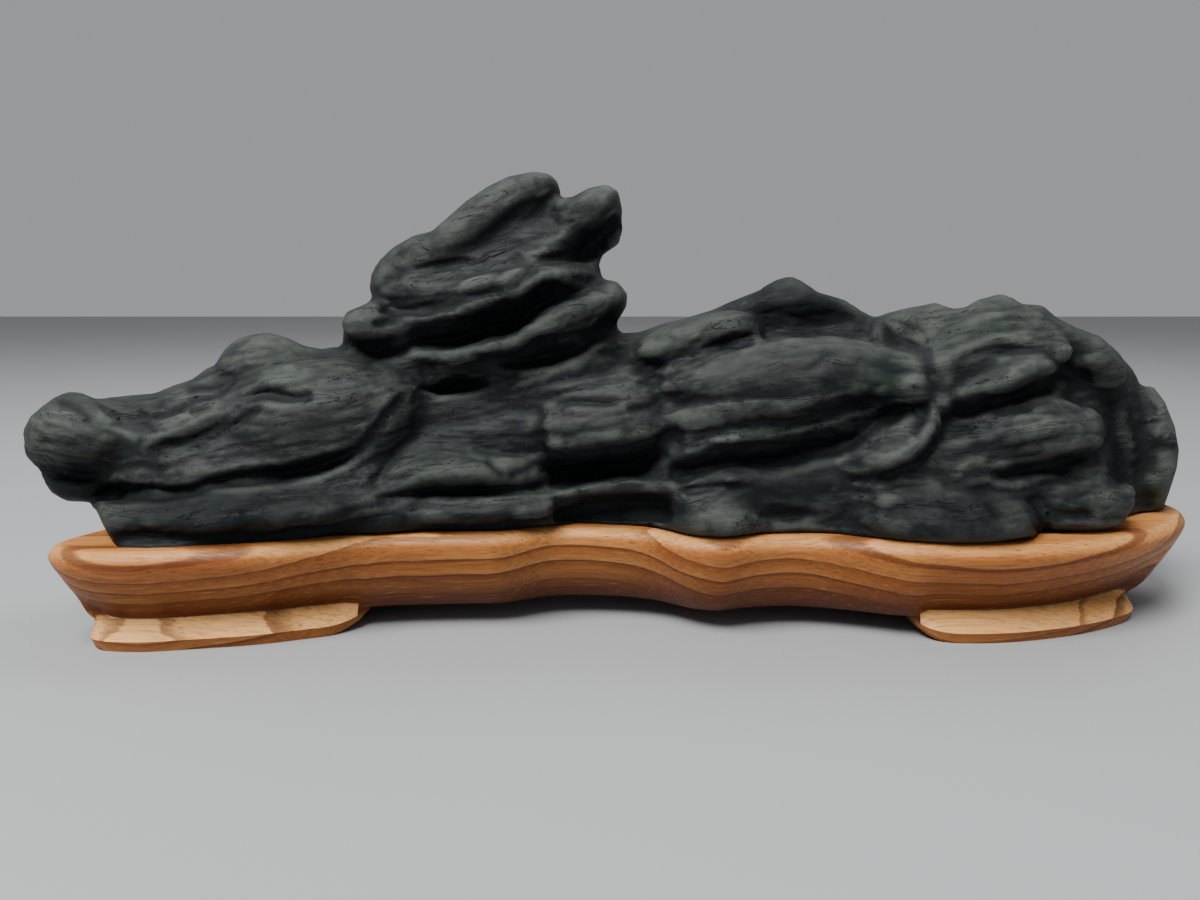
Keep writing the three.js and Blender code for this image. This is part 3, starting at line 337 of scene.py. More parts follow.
SOUNDINGS: list[tuple[float, ...]] = [
    (55, 430, -26, 6), (60, 478, -22, 0), (84, 500, -16, 6), (110, 428, -32, 18), (130, 505, -43, 24),
    (200, 425, -37, 28), (220, 505, -45, 36), (265, 350, -8, 20), (265, 400, -30, 32), (330, 362, -8, 26),
    (330, 430, -35, 38), (350, 505, -38, 40), (400, 425, -25, 38), (450, 385, -12, 36), (480, 450, -28, 42),
    (480, 500, -31, 42), (560, 440, -25, 42), (600, 510, -18, 44), (650, 360, -12, 34), (650, 440, -28, 42),
    (700, 330, 2, 30), (720, 480, -33, 42), (720, 520, -36, 40), (790, 290, 8, 24), (800, 340, -14, 34),
    (800, 420, -31, 42), (800, 500, -32, 42), (880, 340, -14, 36), (900, 460, -36, 42), (930, 320, -4, 30),
    (950, 520, -43, 42), (1000, 310, 0, 30), (1000, 400, -33, 42), (1050, 450, -36, 42),
    (1090, 360, -10, 38), (1080, 500, -28, 42), (1145, 420, -4, 34), (1150, 490, 0, 32),
    (940, 372, -22, 38), (360, 330, -26, 20), (400, 270, -16, 22), (450, 320, -31, 26), (480, 225, -10, 24),
    (535, 200, -6, 22), (520, 280, -26, 26), (560, 335, -28, 28), (605, 210, -14, 14), (600, 300, -24, 20),
    (480, 368, -16, 30),
]
"""Soundings of the body: a place on the drawing, then how far back the front and the back lie, in mm."""

LOBES: list[Lobe] = [
    Lobe("nose", (98, 428), -14, (23, 12, 24), -6),
    Lobe("chin under the nose", (100, 478), -10, (18, 8, 17), 8),
    Lobe("left shoulder band", (200, 421), -20, (19, 6.5, 18), 24),
    Lobe("left hump", (272, 362), 2, (22, 12, 22), 6),
    Lobe("left smooth face", (314, 422), -21, (34, 19, 17), 12),
    Lobe("left low band", (232, 509), -28, (52, 8.5, 23), 3),
    Lobe("left low end", (140, 512), -32, (13, 9, 17), 0),
    Lobe("green shoulder", (460, 471), -20, (28, 7, 15), 6),
    Lobe("low middle ledge", (476, 506), -21, (34, 5, 14), 2),
    Lobe("middle block", (600, 425), -15, (26, 18, 17), 5),
    Lobe("tongue", (700, 337), -10, (21, 7, 13), 14),
    Lobe("great slab", (785, 376), -18, (42, 12, 18), 4),
    Lobe("slab root", (920, 376), -18, (20, 12, 16), 10),
    Lobe("slab foot", (757, 405), -20, (37, 6.5, 13), 11),
    Lobe("slab lower foot", (738, 424), -20, (28, 5, 11), 11),
    Lobe("second peak", (796, 312), 12, (26, 12, 16), 4),
    Lobe("low right bump", (716, 516), -29, (14, 7, 12), 0),
    Lobe("low right band", (952, 517), -32, (30, 8, 17), 0),
    Lobe("low right knee", (892, 450), -30, (14, 8, 12), 28),
    Lobe("right oval", (1040, 430), -24, (21, 10, 16), -3),
    Lobe("right thick ridge", (1000, 374), -22, (22, 7, 14), 20),
    Lobe("right crown", (948, 340), -4, (24, 16, 20), 0),
    Lobe("right crown foot", (970, 360), -14, (30, 12, 17), 14),
    Lobe("right crown end", (1004, 326), 2, (16, 12, 19), 0),
    Lobe("right shoulder", (1064, 354), 0, (20, 12, 21), -26),
    Lobe("right low mass", (1068, 496), -20, (20, 12, 17), 0),
    Lobe("right end", (1140, 446), 12, (14, 26, 22), 0),
    Lobe("head top slab", (466, 236), 2, (37, 12, 21), 33),
    Lobe("head horn", (590, 206), -4, (14, 8, 13), 24),
    Lobe("head middle slab", (488, 296), -14, (27, 6, 17), 17),
    Lobe("head left lobe", (374, 322), -13, (11, 7, 15), 0),
    Lobe("head low slab", (528, 328), -18, (30, 6, 15), 20),
    Lobe("head right lobe", (611, 299), -8, (6.5, 7.5, 12), 0),
    Lobe("neck", (478, 360), 4, (42, 10, 24), 6),
    Lobe("back of the nose", (120, 440), 8, (20, 10, 12), -14),
    Lobe("back left bulge", (232, 462), 24, (28, 15, 14), -8),
    Lobe("back left low band", (300, 510), 30, (44, 8, 11), 2),
    Lobe("back middle bulge", (438, 448), 31, (30, 17, 13), 7),
    Lobe("back middle low band", (560, 506), 33, (42, 8, 12), -2),
    Lobe("back saddle", (655, 402), 25, (22, 11, 16), 12),
    Lobe("back right bulge", (800, 446), 32, (34, 18, 13), -6),
    Lobe("back of the second peak", (800, 350), 24, (26, 12, 13), 10),
    Lobe("back right low band", (905, 508), 33, (44, 8, 12), 0),
    Lobe("back right knee", (985, 424), 32, (24, 21, 14), -10),
    Lobe("back of the right end", (1100, 470), 28, (20, 17, 14), 0),
    Lobe("back of the head", (478, 300), 18, (32, 9, 13), 20),
    Lobe("back of the head top", (500, 228), 14, (26, 9, 12), 34),
]
"""Swellings that are run together softly with the body."""

HOLLOWS: list[Lobe] = [
    Lobe("shade under the head slabs", (512, 312), -42, (26, 6, 17), 20),
    Lobe("pocket under the head", (452, 386), -32, (12, 3.6, 16), 4),
    Lobe("low middle recess", (616, 513), -38, (21, 5.5, 17), 0),
    Lobe("recess over the low bump", (812, 460), -46, (33, 5, 13), 14),
]
"""Hollows cut softly out of the body and its lobes."""

LEDGES: dict[Side, list[Ledge]] = {
    Side.BACK: [
        Ledge("back long ledge", ((110, 470), (210, 452), (320, 458), (430, 430), (540, 436), (650, 414),
            (760, 424), (880, 398), (1000, 410), (1100, 396)), (4, 9), (6, 8)),
        Ledge("back low ledge", ((180, 505), (300, 496), (430, 500), (560, 486), (700, 494), (840, 478),
            (980, 486), (1090, 474)), (3, 7), (5, 7)),
        Ledge("back head foot", ((350, 350), (420, 362), (500, 358), (570, 346), (615, 328)), (2, 7),
            (6, 9)),
        Ledge("back head slab", ((360, 316), (430, 306), (500, 290), (560, 262), (610, 240)), (3, 7),
            (5, 6)),
        Ledge("back head upper slab", ((400, 272), (460, 258), (520, 228), (580, 206)), (2.5, 6), (3.5, 5)),
        Ledge("back shoulder", ((650, 372), (730, 352), (810, 356), (880, 338), (960, 350), (1060, 362)),
            (3, 7), (4.5, 6)),
        Ledge("back left fold", ((150, 430), (230, 408), (300, 398), (350, 384)), (2.5, 6), (3.5, 6)),
    ],
}
"""Ledges of each side, as on the drawing seen from the front."""

FACETS: dict[Side, list[Facet]] = {
    Side.FRONT: [
        Facet("under the nose", ((22, 447), (45, 450), (60, 452), (90, 457), (120, 463), (148, 459)),
            ((28, 466), (45, 479), (70, 486), (95, 481), (112, 474), (150, 467)), 0.5, 0.9, shade=0.85),
        Facet("nose top groove", ((95, 400), (102, 404), (112, 409), (125, 413), (140, 410), (150, 413),
            (165, 411), (178, 404)), ((96, 405), (108, 417), (125, 422), (145, 419), (165, 419),
            (180, 411)), 1.6, 0.4, shade=0.9),
        Facet("shoulder upper groove", ((160, 414), (175, 407), (190, 398), (200, 396), (212, 395),
            (225, 388), (235, 377)), ((165, 420), (182, 412), (196, 403), (212, 401), (226, 394),
            (240, 381)), 1.9, 0.6, shade=0.95),
        Facet("shoulder groove", ((148, 449), (160, 441), (172, 436), (185, 435), (200, 431), (215, 423),
            (230, 411), (240, 402)), ((152, 453), (165, 450), (180, 447), (200, 441), (215, 433),
            (228, 421), (240, 409), (248, 402)), 1.9, 0.6, shade=0.95),
        Facet("shoulder lower groove", ((182, 448), (202, 442), (217, 434), (230, 422), (243, 410),
            (262, 401)), ((158, 455), (185, 454), (207, 450), (220, 442), (235, 431), (250, 420),
            (270, 406)), 0.9, 0.5, shade=0.85),
        Facet("shade under the hump", ((240, 401), (255, 391), (265, 386), (280, 388), (300, 392),
            (314, 389)), ((246, 405), (265, 402), (285, 404), (314, 403)), 1.2, 0.4, shade=0.75),
        Facet("long left ledge", ((92, 478), (120, 480), (150, 484), (175, 484), (195, 480), (205, 474),
            (225, 470), (250, 466), (280, 463), (305, 458), (325, 452), (345, 447), (355, 443), (362, 436),
            (372, 424), (380, 414), (390, 404), (397, 395), (404, 387)), ((90, 505), (110, 506), (140, 504),
            (165, 505), (185, 501), (200, 496), (215, 491), (250, 488), (285, 485), (310, 479), (330, 473),
            (345, 465), (359, 453), (370, 442), (382, 427), (396, 410), (406, 399), (410, 391)),
            1.9, 0.9, shade=0.85),
        Facet("low middle undercut", ((550, 498), (575, 495), (600, 493), (640, 491), (675, 493)),
            ((550, 524), (600, 522), (650, 523), (684, 526)), 0.9, 0.3, shade=1.0),
        Facet("low band roll", ((112, 520), (150, 525), (200, 523), (260, 520), (330, 518), (400, 515),
            (470, 515), (545, 512)), ((106, 552), (150, 556), (250, 553), (330, 549), (400, 543),
            (470, 541), (545, 537)), 0.5, shade=0.3),
        Facet("low band second lip", ((300, 521), (330, 514), (345, 508), (365, 501), (400, 497)),
            ((326, 523), (348, 516), (370, 509), (400, 505)), 0.8, 0.4),
        Facet("under the green shoulder", ((368, 495), (395, 491), (412, 484), (434, 478), (456, 478),
            (481, 478), (503, 483), (518, 484), (533, 479), (545, 474)), ((366, 503), (395, 501),
            (420, 498), (451, 499), (474, 498), (501, 496), (523, 493), (543, 490), (552, 488)), 1.5, 0.5),
        Facet("over the green shoulder", ((470, 436), (495, 434), (520, 434), (540, 428)), ((468, 450),
            (484, 455), (500, 458), (520, 460), (541, 458)), 0.4, shade=0.15),
        Facet("under the middle block", ((541, 430), (545, 442), (553, 448), (567, 448), (582, 445),
            (597, 441), (617, 439), (636, 438), (651, 436), (666, 431), (678, 425)), ((543, 470),
            (548, 489), (566, 491), (582, 487), (602, 483), (622, 479), (640, 478), (660, 466), (668, 455),
            (684, 438)), 1.1, 0.7, shade=0.75),
        Facet("under the first ridge", ((678, 426), (698, 419), (719, 413), (746, 409), (770, 408),
            (788, 408), (807, 404), (828, 398), (849, 393), (861, 390), (880, 384)), ((668, 452),
            (683, 446), (700, 441), (720, 436), (745, 431), (770, 428), (800, 423), (830, 414), (855, 406),
            (882, 395)), 0.15, 1.1, shade=0.3),
        Facet("long undercut", ((662, 457), (683, 454), (700, 449), (719, 443), (746, 440), (770, 437),
            (800, 431), (830, 424), (861, 415), (885, 405), (903, 402), (920, 407)), ((640, 482),
            (683, 486), (716, 476), (755, 476), (776, 473), (800, 469), (816, 463), (837, 459), (861, 448),
            (873, 436), (885, 428), (900, 423), (918, 413)), 1.1, 0.5, shade=0.7),
        Facet("second peak face", ((742, 314), (757, 305), (776, 300), (804, 301), (828, 302), (849, 306),
            (861, 315), (880, 322)), ((757, 329), (761, 341), (782, 338), (807, 340), (834, 337),
            (852, 341), (870, 338), (884, 327)), 0.55, shade=0.5),
        Facet("tongue shade", ((698, 345), (713, 336), (735, 330), (753, 330)), ((700, 352), (716, 351),
            (740, 349), (757, 346)), 0.7),
        Facet("under the horn", ((533, 259), (552, 244), (575, 228), (600, 214), (622, 203)), ((545, 266),
            (560, 270), (584, 270), (601, 258), (611, 245), (626, 226)), 0.9, 0.5),
        Facet("head slab foot", ((372, 297), (400, 296), (420, 294), (445, 291), (470, 290), (490, 287),
            (505, 282), (522, 268), (532, 259)), ((360, 312), (400, 316), (424, 317), (452, 312),
            (472, 303), (495, 295), (515, 290), (530, 282), (546, 272)), 0.6),
        Facet("under the head's middle ridge", ((395, 330), (424, 321), (455, 317), (475, 306), (499, 299),
            (518, 295), (535, 285), (552, 278), (575, 284), (594, 288)), ((385, 344), (400, 351),
            (430, 352), (460, 351), (480, 348), (490, 344), (505, 342), (520, 336), (530, 326), (545, 316),
            (555, 309), (575, 301), (594, 294)), 1.1, 1.0),
        Facet("under the head's low ridge", ((468, 353), (490, 352), (505, 350), (520, 345), (530, 340),
            (545, 334), (560, 332), (575, 328), (590, 324), (600, 316), (612, 305), (626, 300)),
            ((478, 358), (495, 364), (515, 370), (535, 370), (550, 368), (565, 363), (580, 358), (592, 347),
            (602, 339), (616, 330)), 1.2, 0.6),
        Facet("under the head's left lobe", ((343, 333), (365, 334), (385, 336), (412, 337)), ((341, 350),
            (362, 354), (380, 361), (400, 359), (414, 353)), 1.0, 0.5),
        Facet("under the right upper ridge", ((955, 357), (976, 349), (988, 345), (1003, 343), (1025, 345),
            (1046, 347)), ((958, 364), (976, 358), (990, 354), (1003, 355), (1025, 355), (1044, 354)),
            1.3, 0.8),
        Facet("under the right thick ridge", ((944, 403), (970, 396), (988, 391), (1005, 385), (1023, 376),
            (1040, 369), (1052, 366), (1062, 371)), ((950, 418), (962, 420), (976, 417), (988, 411),
            (1005, 406), (1020, 402), (1035, 399), (1052, 396), (1062, 388), (1066, 378)),
            0.45, 1.0, shade=0.35),
        Facet("under the right oval", ((988, 472), (1005, 464), (1023, 461), (1046, 456), (1070, 450),
            (1093, 445), (1104, 440)), ((992, 479), (1008, 485), (1029, 481), (1042, 473), (1064, 468),
            (1087, 461), (1105, 448)), 1.35, 0.5),
        Facet("under the knee", ((834, 466), (849, 472), (861, 472), (875, 470)), ((838, 478), (852, 485),
            (866, 485), (878, 479)), 1.4, 0.4),
        # These four don't lean: they only lay painted shade where the front lies in shadow.
        Facet("shade between the blocks", ((636, 452), (655, 450), (668, 448), (684, 442)), ((634, 484),
            (660, 485), (684, 480), (694, 462)), 0.0, shade=0.8),
        Facet("dark chin", ((20, 449), (45, 453), (75, 457), (112, 466)), ((36, 506), (66, 510), (98, 514),
            (114, 506)), 0.0, shade=0.8),
        Facet("foot shade", ((102, 526), (130, 534), (200, 531), (260, 528), (330, 525), (400, 523),
            (470, 522), (548, 520)), ((106, 558), (150, 562), (250, 558), (330, 554), (400, 548),
            (470, 546), (548, 542)), 0.0, shade=0.85),
        Facet("shade over the low bump", ((700, 462), (750, 462), (800, 458), (836, 448)), ((690, 496),
            (740, 494), (800, 496), (840, 486)), 0.0, shade=0.7),
    ],
    Side.BACK: [
        Facet("back head face", ((372, 318), (420, 322), (480, 306), (540, 284), (590, 272)), ((376, 340),
            (430, 350), (490, 338), (550, 318), (596, 292)), 0.6, 0.8),
        Facet("back left face", ((130, 452), (180, 446), (240, 450), (300, 440), (350, 424)), ((134, 470),
            (190, 474), (250, 476), (310, 466), (356, 442)), 0.6, 0.8),
        Facet("back middle face", ((420, 470), (480, 462), (540, 466), (600, 452)), ((424, 486), (486, 490),
            (546, 488), (604, 470)), 0.6, 0.6),
        Facet("back right face", ((700, 452), (760, 442), (820, 446), (880, 428), (940, 420)), ((704, 470),
            (766, 474), (828, 470), (886, 456), (946, 438)), 0.7, 0.8),
        Facet("back right fold", ((960, 440), (1010, 428), (1060, 432), (1100, 420)), ((964, 458),
            (1014, 456), (1064, 452), (1104, 436)), 0.6, 0.6),
        Facet("back crown face", ((720, 334), (770, 322), (830, 326), (880, 334)), ((724, 350), (776, 346),
            (834, 348), (884, 346)), 0.5, 0.5),
    ],
}
# Leaning faces of each side: the shaded undersides of its slabs and ridges, each darkened with painted shade;
# those that don't lean only lay painted shade.
"""Leaning faces of each side: the shaded undersides of its slabs and ridges."""

SWELLS: dict[Side, list[Patch]] = {
    Side.FRONT: patches(
        (478, 282, 16, 6, 12, 1.4), (516, 276, 10, 7, 30, 1.4), (517, 258, 5, 5, 0, -1.6),
        (445, 266, 30, 6, 8, -2.0, 2), (398, 253, 14, 8, 30, -0.8), (395, 276, 13, 8, 20, -0.9),
        (508, 218, 32, 8, 42, -1.2), (613, 238, 11, 11, 0, 3.0, 2), (428, 309, 8, 6, 0, -1.8),
        (453, 386, 30, 8, 5, -5.0, 3), (426, 370, 8, 9, 0, -2.0), (398, 330, 13, 4, 0, 1.4),
        (566, 274, 18, 7, 12, 2.2, 2), (735, 473, 22, 9, 3, 3.2, 2.5), (700, 488, 22, 5, 8, -2.5, 2),
        (689, 362, 4, 3.5, 0, -1.8, 2), (788, 514, 26, 9, 0, -3.5, 2), (1083, 376, 10, 11, -30, -2.2),
        (1070, 392, 8, 6, 0, -1.5), (972, 465, 15, 7, 25, 1.8), (890, 502, 13, 6, 0, 1.6),
        (1123, 418, 5, 3, -30, 1.2), (1125, 438, 3, 5, 0, 1.4), (650, 492, 12, 3, 0, 0.8),
        (880, 392, 9, 5, 20, 1.2), (910, 382, 11, 6, 25, 1.2), (60, 425, 14, 6, -15, 0.9),
        (75, 436, 20, 6, 0, 0.8), (182, 466, 26, 8, -4, 1.2), (125, 472, 18, 3.5, -4, 1.2),
        (690, 334, 20, 6, 24, 0.8), (655, 350, 26, 5, 14, 0.8), (440, 358, 16, 4, 2, 1.2),
        (352, 346, 10, 5, 0, 1.2), (660, 381, 26, 5, 12, -1.2), (820, 362, 16, 4, 30, -0.6),
        (530, 384, 30, 8, 6, 0.8), (1060, 524, 20, 5, 0, 1.2), (650, 464, 20, 15, 20, -3.0, 2),
        (672, 440, 14, 14, 20, -3.0, 2), (1150, 482, 14, 12, 40, 1.4), (990, 316, 22, 8, 15, 1.0),
        (930, 330, 20, 9, 20, 1.0), (1030, 428, 34, 12, 4, 0.8),
    ),
    Side.BACK: patches(
        (300, 372, 30, 12, 10, 1.6), (250, 500, 40, 8, 2, 1.4), (500, 250, 30, 9, 34, 1.4),
        (560, 410, 30, 12, 4, 1.6), (690, 450, 26, 12, 10, -2.5, 2), (860, 378, 36, 10, -6, 1.8),
        (450, 400, 22, 7, 8, -3.0, 2), (1040, 470, 30, 12, -8, 1.8), (760, 500, 30, 8, 0, 1.6),
    ),
}
"""Low bumps, and below zero dents, of each side."""

CREASES: dict[Side, list[Crease]] = {
    Side.FRONT: [
        Crease("nose upper line", ((56, 402), (70, 405), (84, 413), (95, 424)), -1.0, 1.2),
        Crease("nose middle line", ((40, 424), (58, 427), (78, 434), (100, 444)), -0.9, 1.2),
        Crease("nose ridge", ((98, 420), (112, 427), (126, 434), (140, 443)), 1.1, 1.4),
        Crease("nose low line", ((36, 443), (60, 441), (84, 446)), -0.7, 1.1),
        Crease("first ridge lip", ((686, 420), (710, 414), (735, 410), (765, 407), (795, 405), (830, 397)),
            1.4, 1.5),
        Crease("second ridge lip", ((662, 456), (690, 450), (715, 443), (745, 439)), 1.0, 1.3),
        Crease("thick ridge crest", ((948, 398), (975, 389), (1000, 380), (1025, 368), (1050, 361)),
            1.2, 1.8),
        Crease("upper ridge crest", ((952, 352), (980, 343), (1005, 338), (1035, 341)), 1.0, 1.6),
        Crease("hump streak", ((228, 372), (250, 366), (275, 362), (300, 368)), 0.7, 1.8),
        Crease("shoulder crack", ((183, 393), (200, 388), (215, 388), (228, 380), (233, 375)), -1.3, 1.2),
        Crease("shoulder short crack", ((188, 413), (200, 409), (212, 408)), -1.0, 1.1),
        Crease("grey face upper crack", ((215, 464), (232, 459), (248, 456), (265, 452), (280, 446)),
            -0.9, 1.2),
        Crease("grey face lip", ((214, 460), (235, 455), (255, 452), (275, 446)), 0.8, 1.2),
        Crease("diagonal groove", ((370, 487), (378, 476), (390, 463), (404, 451)), -2.0, 1.8),
        Crease("upper grey crack", ((421, 431), (444, 426), (454, 423), (469, 422), (482, 422)), -1.5, 1.1),
        Crease("long grey crack", ((476, 417), (493, 416), (501, 412), (508, 410), (523, 410), (535, 409),
            (541, 417), (541, 430)), -1.2, 1.1),
        Crease("middle step", ((541, 426), (543, 444), (542, 462), (544, 476)), -2.6, 1.6),
        Crease("block crack", ((552, 409), (572, 402), (583, 403), (604, 404), (624, 401)), -1.6, 1.4),
        Crease("block right crack", ((624, 408), (639, 408), (651, 406), (664, 401), (676, 394),
            (694, 391)), -1.4, 1.1),
        Crease("green shoulder left fold", ((483, 459), (493, 468), (506, 477)), -1.3, 1.2),
        Crease("green shoulder right fold", ((506, 477), (518, 472), (530, 467), (541, 460)), -1.3, 1.2),
        Crease("undercut inner ridge", ((624, 470), (640, 467), (655, 465), (666, 462)), 1.6, 1.6),
        Crease("middle ledge", ((556, 503), (582, 492), (602, 489), (622, 486), (649, 485), (673, 486),
            (688, 489)), 3.6, 2.4),
        Crease("groove over the second ridge", ((664, 453), (680, 448), (698, 445), (713, 440)), -1.2, 1.2),
        Crease("tongue edge", ((660, 340), (673, 335), (695, 325), (719, 319), (734, 317), (749, 319),
            (757, 328), (758, 338), (753, 349)), 1.0, 1.6),
        Crease("peak crest", ((806, 282), (804, 292), (803, 304)), 1.4, 1.8),
        Crease("head low ridge wrinkle", ((556, 343), (570, 338), (584, 342)), 1.2, 1.3),
        Crease("head plate edge", ((548, 272), (565, 267), (578, 265), (584, 271), (580, 284)), 1.0, 1.3),
        Crease("groove over the middle ridge", ((416, 316), (430, 309), (450, 305), (470, 299), (490, 292),
            (506, 286)), -1.5, 1.8),
        Crease("left lobe groove", ((370, 325), (385, 321), (404, 319)), -1.4, 2.0),
        Crease("right vein", ((951, 392), (945, 401), (936, 411), (931, 426), (926, 438), (916, 447),
            (906, 456), (891, 463), (874, 472)), 3.0, 2.4),
        Crease("right vein crack", ((938, 430), (934, 441), (925, 452), (914, 462), (900, 468), (886, 475),
            (870, 483)), -3.4, 1.9),
        Crease("right vein left groove", ((928, 408), (922, 424), (912, 438)), -1.2, 2.0),
        Crease("lines over the thick ridge", ((960, 380), (976, 373), (987, 366), (1001, 361)), -0.9, 1.2),
        Crease("short line on the thick ridge", ((975, 386), (990, 380), (1012, 369)), -0.7, 1.1),
        Crease("arc beside the upper ridge", ((1046, 350), (1057, 363), (1066, 374), (1074, 386)),
            -1.8, 1.5),
        Crease("oval crack", ((988, 415), (1000, 412), (1017, 410), (1036, 408)), -1.2, 1.2),
        Crease("oval low crack", ((1000, 428), (1020, 422), (1044, 420)), -0.7, 1.2),
        Crease("crack under the oval", ((1038, 471), (1055, 470), (1072, 472)), -1.3, 1.1),
        Crease("crossing groove", ((933, 472), (950, 485), (968, 490), (982, 492), (996, 489)), -1.7, 1.5),
        Crease("crown foot", ((878, 322), (893, 345), (912, 348), (925, 353), (931, 374), (934, 398)),
            -1.5, 1.8),
        Crease("right end groove", ((1101, 388), (1107, 410), (1109, 433), (1116, 452), (1119, 474),
            (1116, 494)), -4.0, 2.6),
        Crease("right end notch", ((1139, 390), (1146, 404), (1151, 418)), -1.8, 2.6),
        Crease("right end fold", ((1148, 445), (1163, 446), (1178, 447)), -1.4, 2.0),
        Crease("low band end", ((1028, 496), (1038, 506), (1041, 520), (1040, 534)), -3.4, 2.2),
        Crease("low band notch", ((986, 500), (992, 510), (999, 520)), -1.4, 1.5),
        Crease("low mass line", ((1042, 519), (1064, 514), (1096, 515)), -1.6, 1.4),
        Crease("knee line", ((838, 488), (850, 490), (862, 494), (876, 492)), -1.7, 1.2),
        Crease("low ledge crack", ((408, 512), (419, 504), (428, 501)), -1.0, 1.1),
        Crease("low ledge long crack", ((440, 514), (480, 516), (520, 514)), -1.0, 1.3),
    ],
    Side.BACK: [
        Crease("back cleft", ((612, 350), (640, 400), (636, 460), (650, 505)), -5, 5),
        Crease("back gully", ((905, 330), (922, 390), (900, 440), (912, 500)), -5, 5),
        Crease("back left gully", ((345, 372), (366, 420), (352, 470), (360, 510)), -4, 4.5),
        Crease("back spur", ((480, 372), (500, 420), (490, 480)), 4, 8),
        Crease("back right spur", ((1010, 330), (1030, 390), (1024, 450)), 4, 8),
        Crease("back crack", ((430, 392), (470, 386), (510, 392), (560, 384)), -1.6, 1.3),
        Crease("back right crack", ((720, 398), (770, 390), (820, 396)), -1.6, 1.3),
        Crease("back low crack", ((240, 490), (290, 484), (340, 488)), -1.4, 1.2),
    ],
}
"""Thin ridges and grooves of each side."""

SMOOTH: list[Patch] = patches(
    (460, 240, 90, 26, 33, 0.85), (315, 425, 60, 26, 18, 0.7), (460, 408, 60, 22, 4, 0.5),
    (620, 415, 60, 14, 3, 0.6), (790, 370, 95, 24, 6, 0.8), (1040, 430, 40, 16, 2, 0.4),
    (790, 290, 20, 14, 0, 0.5),
)
"""Where the front is rubbed smooth, and by how much."""

TINTS: dict[Tint, list[Patch]] = {
    Tint.GREEN: patches(
        (85, 432, 60, 28, -6, 0.9), (285, 368, 34, 18, 8, 0.9), (200, 418, 40, 12, 24, 0.5),
        (230, 506, 110, 12, 2, 0.9), (465, 466, 78, 13, 5, 1.0), (655, 348, 50, 14, 15, 0.9),
        (890, 378, 46, 24, 20, 1.0), (975, 330, 80, 24, 4, 0.8), (1000, 372, 50, 12, 20, 0.8),
        (940, 478, 60, 22, 0, 0.5), (1150, 482, 24, 20, 20, 0.8), (800, 432, 80, 8, 12, 0.5),
        (1070, 505, 50, 16, 0, 0.4), (700, 512, 40, 14, 0, 0.5),
    ),
    Tint.GREY: patches(
        (460, 240, 110, 30, 33, 0.6), (315, 425, 70, 28, 18, 1.0), (460, 405, 80, 26, 4, 0.9),
        (620, 408, 80, 24, 3, 0.9), (790, 372, 90, 24, 6, 0.8), (190, 466, 60, 12, 4, 0.8),
        (1040, 430, 50, 20, 2, 0.5), (650, 488, 40, 6, 0, 0.7), (550, 362, 60, 16, 8, 0.6),
        (900, 440, 30, 16, 20, 0.5),
    ),
    Tint.PALE: patches(
        (668, 340, 40, 12, 20, 0.5), (880, 391, 14, 7, 20, 0.6), (1122, 428, 7, 16, 10, 0.7),
        (500, 468, 36, 8, 0, 0.4), (285, 374, 26, 12, 0, 0.35), (75, 428, 40, 14, 0, 0.3),
        (1158, 476, 12, 8, 0, 0.4), (270, 510, 60, 6, 0, 0.25), (950, 350, 50, 14, 20, 0.3),
    ),
    # Painted shade: dark patches under overhangs, at the chin, at the foot and on shadowed faces.
    Tint.DARK: patches(
        (790, 300, 70, 26, 0, 1.0), (610, 514, 80, 16, 0, 0.9), (200, 534, 120, 9, 2, 0.8),
        (950, 526, 110, 14, 0, 0.8), (470, 330, 90, 16, 14, 0.5), (560, 300, 60, 30, 30, 0.5),
        (225, 512, 140, 24, 2, 1.0), (460, 470, 80, 16, 4, 0.35), (950, 516, 110, 17, 0, 0.85),
        (460, 410, 70, 24, 4, 0.4), (800, 375, 90, 28, 6, 0.4), (70, 492, 50, 14, 0, 0.9),
        (460, 512, 100, 14, 0, 0.4), (1060, 500, 50, 20, 0, 0.5), (360, 520, 60, 12, 4, 0.6),
        (840, 510, 50, 14, 0, 0.6), (65, 484, 52, 18, -12, 0.9), (610, 514, 80, 14, 0, 1.0),
        (720, 462, 110, 12, 8, 0.6), (600, 468, 60, 20, 0, 0.7), (400, 370, 60, 16, 0, 0.4),
        (1120, 440, 14, 60, 0, 0.6),
    ),
}
# Where the front wears each colour; the dark patches are painted shade where the front lies in shadow.
"""Where the front wears each colour."""

SEAT: list[Place] = [
    (-148, -41), (-143, -48), (-134, -49.5), (-121, -46.5), (-103, -42.5), (-89, -38), (-79, -31),
    (-63, -28.5), (-47, -28), (-32, -28), (-23, -23), (-17, -17), (-8, -16.5), (4, -19.5), (16, -21.5),
    (23, -26), (29, -33), (37, -35.5), (45, -33.5), (51, -29), (62, -29.5), (72, -31), (82, -36.5),
    (93, -40), (106, -41.5), (121, -41.5), (129, -40), (135, -35.5), (138.5, -27.5), (146, -25.5),
    (155, -24.5), (165, -17.5), (171, -8.5), (178, 1), (187, 3), (196, 4.5), (200, 10), (198, 20),
    (190, 29), (175, 36), (158, 41), (132, 43), (102, 41), (72, 38), (42, 40), (12, 43), (-18, 41),
    (-48, 38), (-78, 40), (-103, 36), (-122, 26), (-135, 12), (-143, -3), (-147, -20),
]
"""Foot of the stone in plan, in mm from the drawing's zero, anticlockwise from its left end."""

